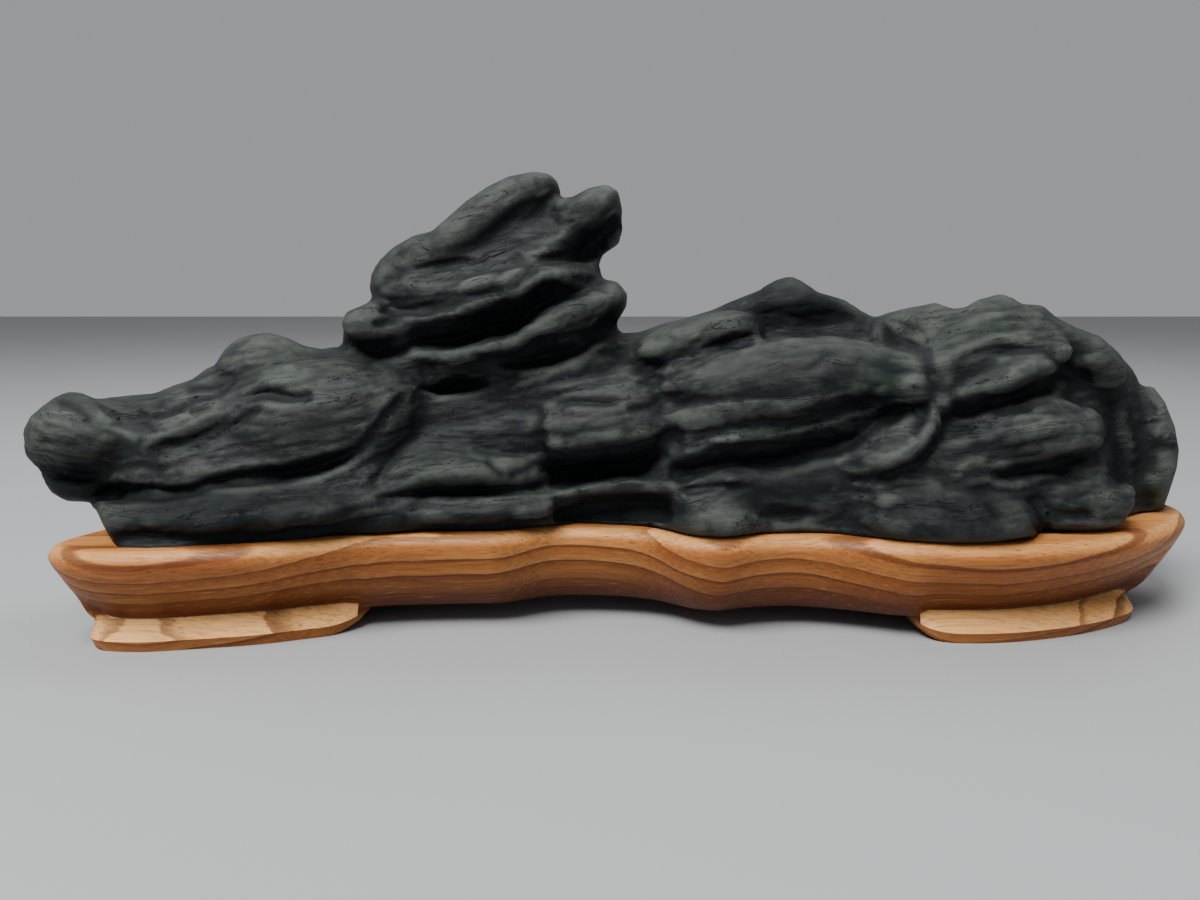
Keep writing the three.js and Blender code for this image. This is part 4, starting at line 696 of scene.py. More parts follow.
RIM: list[Place] = [
    (-166.7, -43), (-157.8, -52.8), (-141, -56), (-121, -53), (-103, -49), (-86, -42.5), (-68, -36.5),
    (-47, -34.5), (-30, -33), (-15, -25.5), (0, -25), (14, -28.5), (26, -38), (38, -41.5), (50, -38),
    (62, -36.5), (76, -40), (92, -46), (106, -48), (124, -48), (141, -44.5), (160, -37.5), (180, -25),
    (195.6, -9), (204.2, 5), (204.7, 16), (199.5, 28), (187, 38), (163, 47.5), (133, 50), (102, 48),
    (72, 45), (42, 47), (12, 50.5), (-18, 48), (-48, 45), (-78, 47.5), (-105, 43.5), (-127, 33), (-143, 17),
    (-153, -1), (-160.6, -22),
]
"""Outer edge of the stand's rim in plan, in mm, through which a smooth closed curve runs."""


class Strata:
    """Curved coordinates along and across the stone's layers, led by the directions of the drawn lines."""

    step: float = 6.0
    low: Place = (-20.0, 0.0)
    cells: tuple[int, int] = (210, 110)
    reach: float = 34.0
    level: float = 0.002
    least_run: float = 30.0
    far_weight: float = 1e-3
    far_area: float = 1e4

    def __init__(self) -> None:
        """Works out the directions and the coordinates on a coarse grid over the drawing."""
        across = self.low[0] + self.step * np.arange(self.cells[0])
        down = self.low[1] + self.step * np.arange(self.cells[1])
        self.across, self.down = np.meshgrid(across, down)
        right, fall = self.directions()
        self.along = Sheet(self.low, self.step, self.integrate(right, fall))
        self.over = Sheet(self.low, self.step, self.integrate(fall, -right))

    def directions(self) -> tuple[Array, Array]:
        """The unit direction of the layers at each place, mixed from the lines round it."""
        lines = [facet.upper for facet in FACETS[Side.FRONT]]
        for crease in CREASES[Side.FRONT]:
            if crease.line[0][0] < crease.line[-1][0] - self.least_run:
                lines.append(crease.line)
        double_x = np.full(self.across.shape, self.level)
        double_y = np.zeros(self.across.shape)
        for line in lines:
            for (ax, ay), (bx, by) in zip(line, line[1:]):
                length = math.hypot(bx - ax, by - ay)
                turn = 2 * math.atan2(by - ay, bx - ax)
                far = (self.across - (ax + bx) / 2) ** 2 + (self.down - (ay + by) / 2) ** 2
                near_share = np.exp(-far / (2 * self.reach**2))
                weight = length / self.reach * (near_share + self.far_weight / (1 + far / self.far_area))
                double_x += weight * math.cos(turn)
                double_y += weight * math.sin(turn)
        turn = np.arctan2(double_y, double_x) / 2
        return np.cos(turn), np.sin(turn)

    def integrate(self, slope_x: Array, slope_y: Array) -> Array:
        """The height in mm whose slopes come nearest to the given ones, found over a mirrored sheet."""
        wide_x = np.hstack((slope_x, -slope_x[:, ::-1]))
        wide_x = np.vstack((wide_x, wide_x[::-1]))
        wide_y = np.hstack((slope_y, slope_y[:, ::-1]))
        wide_y = np.vstack((wide_y, -wide_y[::-1]))
        rows, columns = wide_x.shape
        wave_x = 2j * math.pi * np.fft.fftfreq(columns)[None, :]
        wave_y = 2j * math.pi * np.fft.fftfreq(rows)[:, None]
        size = np.abs(wave_x) ** 2 + np.abs(wave_y) ** 2
        size[0, 0] = 1.0
        found = np.conj(wave_x) * np.fft.fft2(wide_x) + np.conj(wave_y) * np.fft.fft2(wide_y)
        found[0, 0] = 0.0
        height = np.fft.ifft2(found / size).real[: slope_x.shape[0], : slope_x.shape[1]]
        return height * self.step * DRAWING.middle_square

    def read(self, points: Array) -> Array:
        """The place along, over and through the layers of points in mm, one row each."""
        across, down, _ = DRAWING.sight(points[:, 0], points[:, 1], points[:, 2])
        return np.stack((self.along.read(across, down), self.over.read(across, down), points[:, 1]), axis=1)


class StoneForm:
    """The stone's form as a field in mm: below zero inside it, roughly the distance to its surface."""

    foot: float = 27.35
    skirt: float = 33.5
    skirt_swell: float = 0.6
    plinth_rise: float = 0.5
    plinth_blend: float = 2.5
    edge_fade: Span = (1.0, 14.0)
    facet_step: float = 3.4
    facet_taper: float = 0.06
    brow_reach: float = 1.6
    # Half width in mm of the painted highlight along a face's upper line.
    painted_lip_width: float = 1.0
    # The crease height whose line gets full painted shade or painted highlight.
    full_painted_tone_height: float = 1.4
    edge_round: float = 19.0
    edge_blend: float = 2.5
    lobe_blend: float = 4.5
    crispness: float = 1.1
    face_turn: Span = (12.0, 2.0)
    sounding_reach: float = 42.0
    far_weight: float = 1e-4
    sheet_low: Place = (-20.0, 0.0)
    sheet_step: float = 2.0
    sheet_cells: tuple[int, int] = (620, 330)
    stroke_margin: float = 60.0
    plan_low: Place = (-200.0, -70.0)
    plan_high: Place = (220.0, 70.0)
    plan_step: float = 1.0
    facet_blend: float = 1.2
    # How the painted shade feathers in at a face's edge, in squares.
    painted_shade_edge: Span = (1.5, -2.5)
    probe: float = 0.4
    least_slope: float = 0.05

    def __init__(self) -> None:
        """Works out every sheet of values over the drawing and over the plan."""
        columns, rows = self.sheet_cells
        across = self.sheet_low[0] + self.sheet_step * np.arange(columns)
        down = self.sheet_low[1] + self.sheet_step * np.arange(rows)
        self.across, self.down = np.meshgrid(across, down)
        self.edge = self.sheet(outline_distance(OUTLINE, self.across, self.down))
        front, back = self.body()
        self.front = self.sheet(front)
        self.back = self.sheet(back)
        self.relief = {side: self.sheet(self.side_relief(side)) for side in Side}
        # Painted shade and painted highlight of each side, as sheets over the drawing.
        self.dark = {}
        self.pale = {}
        for side in Side:
            dark, pale = self.side_painted_tones(side)
            self.dark[side] = self.sheet(dark)
            self.pale[side] = self.sheet(pale)
        plan = [np.arange(low, high, self.plan_step) for low, high in zip(self.plan_low, self.plan_high)]
        self.seat = Sheet(self.plan_low, self.plan_step, outline_distance(SEAT, *np.meshgrid(*plan)))

    def sheet(self, values: Array) -> Sheet:
        """A sheet over the drawing that holds the given values."""
        return Sheet(self.sheet_low, self.sheet_step, values)

    def body(self) -> tuple[Array, Array]:
        """How far back the body's front and back lie, from the soundings round each place."""
        weights = np.zeros(self.across.shape)
        front = np.zeros(self.across.shape)
        back = np.zeros(self.across.shape)
        for x, y, near, far in SOUNDINGS:
            r = np.hypot(self.across - x, self.down - y) / self.sounding_reach
            weight = np.exp(-r * r / 2) + self.far_weight / (1 + r * r)
            weights += weight
            front += weight * near
            back += weight * far
        return front / weights, back / weights

    def window(self, places: tuple[Place, ...]) -> tuple[slice, slice]:
        """The rows and columns of the sheets round some places, with a margin."""
        spans = []
        for axis, cells in ((1, self.sheet_cells[1]), (0, self.sheet_cells[0])):
            values = [place[axis] - self.sheet_low[axis] for place in places]
            low = int((min(values) - self.stroke_margin) / self.sheet_step)
            high = int((max(values) + self.stroke_margin) / self.sheet_step) + 1
            spans.append(slice(max(low, 0), min(high, cells)))
        return spans[0], spans[1]

    def side_relief(self, side: Side) -> Array:
        """The height in mm that one side's strokes add at each place on the drawing."""
        height = np.zeros(self.across.shape)
        for ledge in LEDGES.get(side, []):
            part = self.window(ledge.line)
            height[part] += self.ledge_height(ledge, self.across[part], self.down[part])
        for facet in FACETS[side]:
            part = self.window(facet.upper + facet.lower)
            height[part] += self.facet_height(facet, self.across[part], self.down[part])
        for crease in CREASES[side]:
            part = self.window(crease.line)
            along, shape = self.crease_shape(crease, part)
            height[part] += along * crease.height * shape
        for swell in SWELLS[side]:
            height += swell.share(self.across, self.down)
        return height * smoothstep(*self.edge_fade, -self.edge.values)

    def side_painted_tones(self, side: Side) -> tuple[Array, Array]:
        """How much painted shade lies on one side's faces and grooves, and how much painted highlight on its
        lips and ridges, from 0 to 1.
        """
        dark = np.zeros(self.across.shape)
        pale = np.zeros(self.across.shape)
        for facet in FACETS[side]:
            part = self.window(facet.upper + facet.lower)
            across, down = self.across[part], self.down[part]
            outside = outline_distance([*facet.upper, *reversed(facet.lower)], across, down)
            gap, along = line_distance(facet.upper, across, down)
            # Painted highlight: a thin pale line just above the face's upper line.
            lip = np.exp(-((gap * DRAWING.middle_square / self.painted_lip_width) ** 2)) * (outside > 0)
            # Painted shade over the face, feathered at its edge.
            shade = facet.shade * fade(along, self.facet_taper) * smoothstep(*self.painted_shade_edge, outside)
            dark[part] = np.maximum(dark[part], shade)
            pale[part] = np.maximum(pale[part], facet.brow * fade(along) * lip)
        # Painted shade along grooves, painted highlight along ridges.
        for crease in CREASES[side]:
            part = self.window(crease.line)
            along, shape = self.crease_shape(crease, part)
            tone = pale if crease.height > 0 else dark
            share = min(abs(crease.height) / self.full_painted_tone_height, 1.0) * along
            tone[part] = np.maximum(tone[part], share * shape)
        return dark, pale

    def crease_shape(self, crease: Crease, part: tuple[slice, slice]) -> tuple[Array, Array]:
        """How strong a crease is along its length and over its width, in one part of the sheets."""
        gap, along = line_distance(crease.line, self.across[part], self.down[part])
        return fade(along), np.exp(-((gap * DRAWING.middle_square / crease.width) ** 2))

    def ledge_height(self, ledge: Ledge, across: Array, down: Array) -> Array:
        """The height in mm of one ledge."""
        gap, along = line_distance(ledge.line, across, down)
        over = gap * DRAWING.middle_square
        above = smoothstep(-self.crispness, self.crispness, over)
        brow = ledge.out[0] * np.exp(-np.maximum(over, 0.0) / ledge.out[1])
        shade = ledge.cut[0] * np.exp(-np.maximum(-over, 0.0) / ledge.cut[1])
        return fade(along) * (above * brow - (1 - above) * shade)

    def facet_height(self, facet: Facet, across: Array, down: Array) -> Array:
        """The height in mm of one leaning face and of the brow over it."""
        rim = [*facet.upper, *reversed(facet.lower)]
        inside = outline_distance(rim, across, down) < 0
        above, along = line_distance(facet.upper, across, down)
        under, _ = line_distance(facet.lower, across, down)
        above = np.abs(above) * DRAWING.middle_square
        under = np.abs(under) * DRAWING.middle_square
        depth = smooth_union(facet.lean * above, self.facet_step * under, self.facet_blend)
        brow = facet.brow * np.exp(-above / self.brow_reach)
        depth = np.where(inside, np.maximum(depth, 0.0), 0.0)
        return fade(along) * brow - fade(along, self.facet_taper) * depth

    def value(self, points: Array) -> Array:
        """The field at points given in mm from the drawing's zero."""
        x, y, z = points[:, 0], points[:, 1], points[:, 2]
        across, down, square = DRAWING.sight(x, y, z)
        outside = self.edge.read(across, down) * square
        near = self.front.read(across, down)
        far = self.back.read(across, down)
        thickness = np.maximum(near - y, y - far)
        rounded = [np.maximum(part + self.edge_round, 0.0) for part in (thickness, outside)]
        turn = np.hypot(*rounded)
        value = np.maximum(turn - self.edge_round, np.minimum(thickness, outside))
        for lobe in LOBES:
            value = smooth_union(value, lobe.distance(x, y, z), self.lobe_blend)
        for hollow in HOLLOWS:
            value = smooth_cut(value, hollow.distance(x, y, z), self.lobe_blend)
        facing = smoothstep(*self.face_turn, y - (near + far) / 2)
        front = self.relief[Side.FRONT].read(across, down)
        back = self.relief[Side.BACK].read(across, down)
        value = value - facing * front - (1 - facing) * back
        seat = self.seat.read(x, y)
        plinth = np.maximum(seat - self.skirt_swell, z - self.skirt - self.plinth_rise)
        value = smooth_union(value, plinth, self.plinth_blend)
        value = smooth_cut(value, -outside, self.edge_blend)
        value = np.maximum(value, np.minimum(self.skirt - z, seat))
        return np.maximum(value, self.foot - z)

    def settle(self, points: Array, rounds: int, reach: float = 1.5) -> Array:
        """Moves points onto the field's surface.

        Args:
            points: places in mm from the drawing's zero.
            rounds: how many times each point steps towards the surface.
            reach: the longest single step in mm.

        Returns:
            The moved points.
        """
        for _ in range(rounds):
            here = self.value(points)
            slope = np.empty_like(points)
            for axis in range(3):
                ahead = points.copy()
                ahead[:, axis] += self.probe
                slope[:, axis] = (self.value(ahead) - here) / self.probe
            size = np.maximum((slope * slope).sum(1), self.least_slope)
            step = slope * (here / size)[:, None]
            length = np.linalg.norm(step, axis=1)
            points = points - step * np.minimum(1.0, reach / np.maximum(length, 1e-6))[:, None]
        return points


def deselect() -> None:
    """Leaves nothing selected and no object active in edit mode."""
    if bpy.context.object and bpy.context.object.mode != "OBJECT":
        bpy.ops.object.mode_set(mode="OBJECT")
    bpy.ops.object.select_all(action="DESELECT")


def activate(piece: Piece) -> None:
    """Makes one piece the only selected and the active object."""
    deselect()
    piece.select_set(True)
    bpy.context.view_layer.objects.active = piece


@contextmanager
def editing(piece: Piece) -> Iterator[None]:
    """Opens a piece's mesh for editing with all of it selected, and closes it again."""
    activate(piece)
    bpy.ops.object.mode_set(mode="EDIT")
    bpy.ops.mesh.select_all(action="SELECT")
    yield
    bpy.ops.object.mode_set(mode="OBJECT")


def apply_modifier(piece: Piece, kind: str, **settings: object) -> None:
    """Adds a modifier with the given settings to a piece and applies it."""
    activate(piece)
    modifier = piece.modifiers.new(kind.lower(), kind)
    for key, value in settings.items():
        setattr(modifier, key, value)
    bpy.ops.object.modifier_apply(modifier=modifier.name)


def coordinates(piece: Piece, what: str = "co") -> Array:
    """The corners of a piece in metres, one row each, or another of their values."""
    flat = np.empty(len(piece.data.vertices) * 3)
    piece.data.vertices.foreach_get(what, flat)
    return flat.reshape(-1, 3)


def set_coordinates(piece: Piece, points: Array) -> None:
    """Moves the corners of a piece to the given places in metres."""
    piece.data.vertices.foreach_set("co", np.ascontiguousarray(points, float).ravel())
    piece.data.update()


def keep_in_box(piece: Piece, node: str) -> None:
    """Holds every corner of a piece inside the box of the solid that it stands for."""
    low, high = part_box(node)
    set_coordinates(piece, np.clip(coordinates(piece), np.array(low), np.array(high)))


def folds(places: Array, swirl_wave: float = 0.7, bend: float = 0.45, furrow: float = 0.16) -> Array:
    """Folds with soft backs and sharp furrows between them.

    Args:
        places: where to read them, in units of about one fold.
        swirl_wave: how fine the swirls are that bend the folds.
        bend: how far the swirls bend them.
        furrow: how wide the furrows are.

    Returns:
        The height at each place, from about -1 to 1.
    """
    noise.seed_set(FOLD_SEED)
    values = np.empty(len(places))
    for i, place in enumerate(places):
        at = Vector(place)
        values[i] = noise.noise(at + noise.noise_vector(at * swirl_wave) * bend)
    return 0.55 - 1.1 * np.exp(-np.abs(values) / furrow) + values * 0.4


class Nodes:
    """A short way to write a material's node tree."""

    def __init__(self, name: str) -> None:
        """Starts a material with a bare principled shader."""
        self.material = bpy.data.materials.new(name)
        self.material.use_nodes = True
        self.tree = self.material.node_tree
        self.shader = self.tree.nodes["Principled BSDF"]

    def add(self, kind: str, inputs: dict | None = None, **settings: object) -> bpy.types.Node:
        """Adds a node, sets its properties, and fills or links its inputs."""
        node = self.tree.nodes.new(kind)
        for key, value in settings.items():
            setattr(node, key, value)
        for key, value in (inputs or {}).items():
            if isinstance(value, Socket):
                self.tree.links.new(value, node.inputs[key])
            else:
                node.inputs[key].default_value = value
        return node

    def math(self, operation: str, *values: object) -> Socket:
        """The result of a math node on up to three values."""
        return self.add("ShaderNodeMath", dict(enumerate(values)), operation=operation).outputs[0]

    def times(self, first: object, second: object) -> Socket:
        """The product of two values."""
        return self.math("MULTIPLY", first, second)

    def upward(self) -> Socket:
        """How far the surface faces up, from -1 to 1."""
        normal = self.add("ShaderNodeNewGeometry").outputs["Normal"]
        return self.add("ShaderNodeSeparateXYZ", {0: normal}).outputs[2]

    def noise(self, where: Socket, scale: float, detail: float = 4.0, roughness: float = 0.55,
              distortion: float = 0.0) -> Socket:
        """A noise texture's value over the given coordinates."""
        inputs = {"Vector": where, "Scale": scale, "Detail": detail, "Roughness": roughness}
        return self.add("ShaderNodeTexNoise", {**inputs, "Distortion": distortion}).outputs[0]

    def stretch(self, where: Socket, scale: Point, turn: Point = (0.0, 0.0, 0.0)) -> Socket:
        """Coordinates scaled, and turned by degrees."""
        inputs = {"Vector": where, "Scale": scale, "Rotation": tuple(math.radians(t) for t in turn)}
        return self.add("ShaderNodeMapping", inputs).outputs[0]

    def band(self, value: Socket, low: float, high: float, to_low: float = 0.0,
             to_high: float = 1.0) -> Socket:
        """A value mapped softly from one range to another."""
        inputs = {"Value": value, "From Min": low, "From Max": high, "To Min": to_low, "To Max": to_high}
        return self.add("ShaderNodeMapRange", inputs, interpolation_type="SMOOTHSTEP").outputs[0]

    def blend(self, share: object, first: object, second: object) -> Socket:
        """Two colours mixed by a share."""
        node = self.add("ShaderNodeMix", data_type="RGBA")
        for index, value in ((0, share), (6, first), (7, second)):
            if isinstance(value, Socket):
                self.tree.links.new(value, node.inputs[index])
            else:
                node.inputs[index].default_value = value
        return node.outputs[2]

    def attribute(self, name: str) -> Socket:
        """A vertex attribute's value."""
        return self.add("ShaderNodeAttribute", attribute_name=name).outputs["Fac"]

    def bump(self, height: Socket, strength: float, distance: float, normal: Socket | None = None) -> Socket:
        """A bumped normal from a height."""
        inputs: dict[str, object] = {"Height": height, "Strength": strength, "Distance": distance}
        if normal is not None:
            inputs["Normal"] = normal
        return self.add("ShaderNodeBump", inputs).outputs[0]

    def link(self, socket: str, value: Socket) -> None:
        """Links a value to one of the shader's own sockets."""
        self.tree.links.new(value, self.shader.inputs[socket])


def colour(red: float, green: float, blue: float) -> Colour:
    """A colour with full cover, from linear parts."""
    return (red, green, blue, 1.0)


@dataclass(frozen=True)
class StoneFinish:
    """Water-smoothed green-black satin stone: painted shade in its recesses, grey and green on its faces."""

    crack: Colour = colour(0.004, 0.005, 0.005)
    deep: Colour = colour(0.0062, 0.0082, 0.0092)
    body: Colour = colour(0.0076, 0.0095, 0.0106)
    grey: Colour = colour(0.0126, 0.0126, 0.0132)
    green: Colour = colour(0.0165, 0.0265, 0.0205)
    pale: Colour = colour(0.085, 0.095, 0.085)
    roughness: Span = (0.5, 0.72)
    sheen: Span = (0.165, 0.085)
    crack_shift: Point = (7.0, 3.0, 5.0)
    crack_edge: float = 0.08

    def build(self) -> bpy.types.Material:
        """Makes the material."""
        n = Nodes("satin stone")
        where = n.add("ShaderNodeTexCoord").outputs["Object"]
        layers = n.add("ShaderNodeAttribute", attribute_name="layers").outputs["Vector"]
        cloud = n.noise(where, 28.0, 5.0, 0.6, 0.4)
        bands = n.noise(n.stretch(where, (30.0, 60.0, 150.0), (0.0, 16.0, 0.0)), 1.0, 5.0, 0.6, 0.6)
        grain = n.noise(where, 620.0, 3.0, 0.6)
        mottle = n.noise(where, 110.0, 4.0, 0.6)
        base = n.blend(n.band(cloud, 0.3, 0.72), self.deep, self.body)
        grey = n.times(n.attribute(Tint.GREY.value), n.band(mottle, 0.2, 0.6, 0.5, 1.0))
        base = n.blend(grey, base, self.grey)
        green = n.times(n.attribute(Tint.GREEN.value), n.band(bands, 0.3, 0.62, 0.25, 1.0))
        base = n.blend(green, base, self.green)
        pale = n.times(n.attribute(Tint.PALE.value), n.band(bands, 0.42, 0.62))
        base = n.blend(pale, base, self.pale)
        # Wear on ridges, and painted highlight on lips and ridge lines, from the ridge attribute.
        wear_and_painted_light = n.times(n.attribute("ridge"), n.band(mottle, 0.3, 0.65, 0.2, 0.8))
        base = n.blend(wear_and_painted_light, base, self.pale)
        # Painted light: faces turned up are paler.
        upward = n.upward()
        painted_top_light = n.times(n.band(upward, 0.15, 0.95, 0.0, 0.28), n.band(mottle, 0.3, 0.7, 0.4, 1.0))
        base = n.blend(painted_top_light, base, self.pale)
        # Painted shade patches.
        dark = n.times(n.attribute(Tint.DARK.value), n.band(mottle, 0.2, 0.7, 1.0, 0.8))
        base = n.blend(dark, base, self.deep)
        streaks = n.noise(n.stretch(layers, (0.10, 0.75, 0.4)), 1.0, 4.0, 0.65, 0.5)
        streak = n.times(n.band(streaks, 0.56, 0.72), n.band(cloud, 0.4, 0.65, 0.05, 0.32))
        base = n.blend(streak, base, self.pale)
        fleck = n.times(n.band(grain, 0.66, 0.74), 0.3)
        base = n.blend(fleck, base, self.pale)
        # Painted shade in hollows, on leaning faces and in grooves, from the recess attribute.
        base = n.blend(n.attribute("recess"), base, self.deep)
        long_cracks = self.cracks(n, layers, (0.016, 0.13, 0.10), 0.011, 0.54)
        short_cracks = self.cracks(n, layers, (0.035, 0.30, 0.2), 0.014, 0.55)
        crack = n.math("MAXIMUM", long_cracks, short_cracks)
        base = n.blend(n.times(crack, 0.8), base, self.crack)
        n.link("Base Color", base)
        n.link("Roughness", n.band(mottle, 0.3, 0.7, *self.roughness))
        wrinkles = n.noise(n.stretch(layers, (0.11, 0.4, 0.22)), 1.0, 4.0, 0.6, 0.8)
        lines = n.noise(n.stretch(layers, (0.28, 1.3, 0.6)), 1.0, 3.0, 0.6, 0.6)
        wrinkled = n.band(n.noise(n.stretch(layers, (0.03, 0.08, 0.06)), 1.0, 3.0, 0.5), 0.42, 0.62)
        rough = n.bump(n.times(wrinkles, wrinkled), 0.4, 0.0009)
        rough = n.bump(n.times(lines, wrinkled), 0.25, 0.0003, rough)
        rough = n.bump(n.math("SUBTRACT", n.times(streaks, 0.3), crack), 0.7, 0.0007, rough)
        rough = n.bump(n.noise(where, 300.0, 5.0, 0.6), 0.4, 0.0005, rough)
        n.link("Normal", n.bump(grain, 0.3, 0.0002, rough))
        # The sheen is lowered under the painted shade patches.
        n.link("Specular IOR Level", n.band(n.attribute(Tint.DARK.value), 0.0, 1.0, *self.sheen))
        return n.material

    def cracks(self, n: Nodes, layers: Socket, scale: Point, width: float, least: float) -> Socket:
        """Thin lines along the layers, broken off where a second noise is low."""
        level = n.noise(n.stretch(layers, scale), 1.0, 4.0, 0.6, 1.8)
        apart = n.math("ABSOLUTE", n.math("SUBTRACT", level, 0.5))
        parts = {0: n.stretch(layers, scale), 1: self.crack_shift}
        shifted = n.add("ShaderNodeVectorMath", parts, operation="ADD").outputs[0]
        present = n.band(n.noise(shifted, 0.8, 2.0, 0.5), least, least + self.crack_edge)
        return n.times(n.band(apart, 0.0, width, 1.0, 0.0), present)


@dataclass(frozen=True)
class WoodFinish:
    """Oiled orange-brown wood with dark growth rings, whose layers arch over a pith far below the stand."""

    light: Colour = colour(0.53, 0.225, 0.062)
    middle: Colour = colour(0.41, 0.135, 0.026)
    dark: Colour = colour(0.09, 0.022, 0.005)
    red: Colour = colour(0.33, 0.085, 0.018)
    pale: Colour = colour(0.97, 0.55, 0.21)
    ring_spacing: float = 0.0062
    pith: Place = (0.004, -0.062)
    taper: float = 0.02
    roughness: Span = (0.42, 0.6)
    sheen: float = 0.27

    def build(self) -> bpy.types.Material:
        """Makes the material."""
        n = Nodes("oiled wood")
        where = n.add("ShaderNodeTexCoord").outputs["Object"]
        axes = n.add("ShaderNodeSeparateXYZ", {0: where}).outputs
        across = n.math("SUBTRACT", axes[1], self.pith[0])
        height = n.math("SUBTRACT", axes[2], self.pith[1])
        squares = n.math("ADD", n.times(across, across), n.times(height, height))
        radius = n.math("SQRT", squares)
        drift = n.times(axes[0], self.taper)
        sway = n.times(n.noise(n.stretch(where, (6.0, 14.0, 18.0)), 1.0, 2.0, 0.45), 0.014)
        shiver = n.times(n.noise(n.stretch(where, (60.0, 160.0, 160.0)), 1.0, 3.0, 0.6), 0.0011)
        rings = n.math("ADD", n.math("ADD", radius, drift), n.math("ADD", sway, shiver))
        ring_line = n.add("ShaderNodeCombineXYZ", {0: rings}).outputs[0]
        uneven = n.times(n.noise(ring_line, 130.0, 2.0, 0.5), 1.9)
        turns = n.math("ADD", n.math("DIVIDE", rings, self.ring_spacing), uneven)
        ring_id = n.add("ShaderNodeCombineXYZ", {0: n.math("FLOOR", turns)}).outputs[0]
        ring_seed = n.add("ShaderNodeVectorMath", {0: ring_id, 3: 1.37}, operation="SCALE").outputs[0]
        boldness = n.band(n.noise(ring_seed, 1.0, 1.0, 0.5), 0.35, 0.6, 0.55, 1.0)
        share = n.math("FRACT", turns)
        early = n.band(share, 0.0, 0.75)
        line = n.times(n.band(share, 0.74, 0.93), n.band(share, 1.0, 0.965))
        fibre = n.noise(n.stretch(where, (50.0, 1300.0, 1300.0)), 1.0, 3.0, 0.6)
        patch = n.noise(n.stretch(where, (10.0, 30.0, 30.0)), 1.0, 3.0, 0.55)
        base = n.blend(early, self.light, self.middle)
        base = n.blend(n.band(patch, 0.45, 0.75, 0.0, 0.65), base, self.red)
        upward = n.upward()
        # Painted light: faces turned up are paler, flat tops less so as if the stone shaded them, and higher
        # parts less.
        wear_and_painted_light = n.times(n.band(upward, 0.05, 0.7, 0.0, 0.75), n.band(upward, 0.9, 1.0, 1.0, 0.35))
        uneven_painted_light = n.times(n.band(patch, 0.3, 0.6, 1.0, 0.75), n.band(axes[2], 0.014, 0.026, 1.0, 0.55))
        wear_and_painted_light = n.times(wear_and_painted_light, uneven_painted_light)
        base = n.blend(wear_and_painted_light, base, self.pale)
        # Painted shade: the low apron darker where it doesn't face up, less so right at the floor.
        low = n.times(n.band(axes[2], 0.022, 0.010, 0.0, 0.95), n.band(upward, 0.3, 0.0))
        low = n.times(low, n.band(axes[2], 0.0035, 0.0065, 0.35, 1.0))
        base = n.blend(low, base, self.dark)
        # Painted shade: faces turned down darker.
        base = n.blend(n.band(upward, -0.35, -0.85, 0.0, 0.6), base, self.dark)
        bold = n.times(boldness, n.band(patch, 0.2, 0.6, 0.85, 1.0))
        base = n.blend(n.times(line, bold), base, self.dark)
        base = n.blend(n.band(fibre, 0.4, 0.75, 0.0, 0.42), base, self.dark)
        base = n.blend(n.band(fibre, 0.42, 0.2, 0.0, 0.22), base, self.pale)
        pores = n.noise(n.stretch(where, (260.0, 2600.0, 2600.0)), 1.0, 2.0, 0.5)
        pore = n.times(n.band(pores, 0.62, 0.7), n.band(share, 0.15, 0.7, 0.25, 0.8))
        base = n.blend(pore, base, self.dark)
        n.link("Base Color", base)
        n.link("Roughness", n.band(fibre, 0.3, 0.7, *self.roughness))
        n.link("Normal", n.bump(n.math("SUBTRACT", fibre, pore), 0.22, 0.00012, n.bump(line, 0.2, 0.0001)))
        n.shader.inputs["Specular IOR Level"].default_value = self.sheen
        return n.material


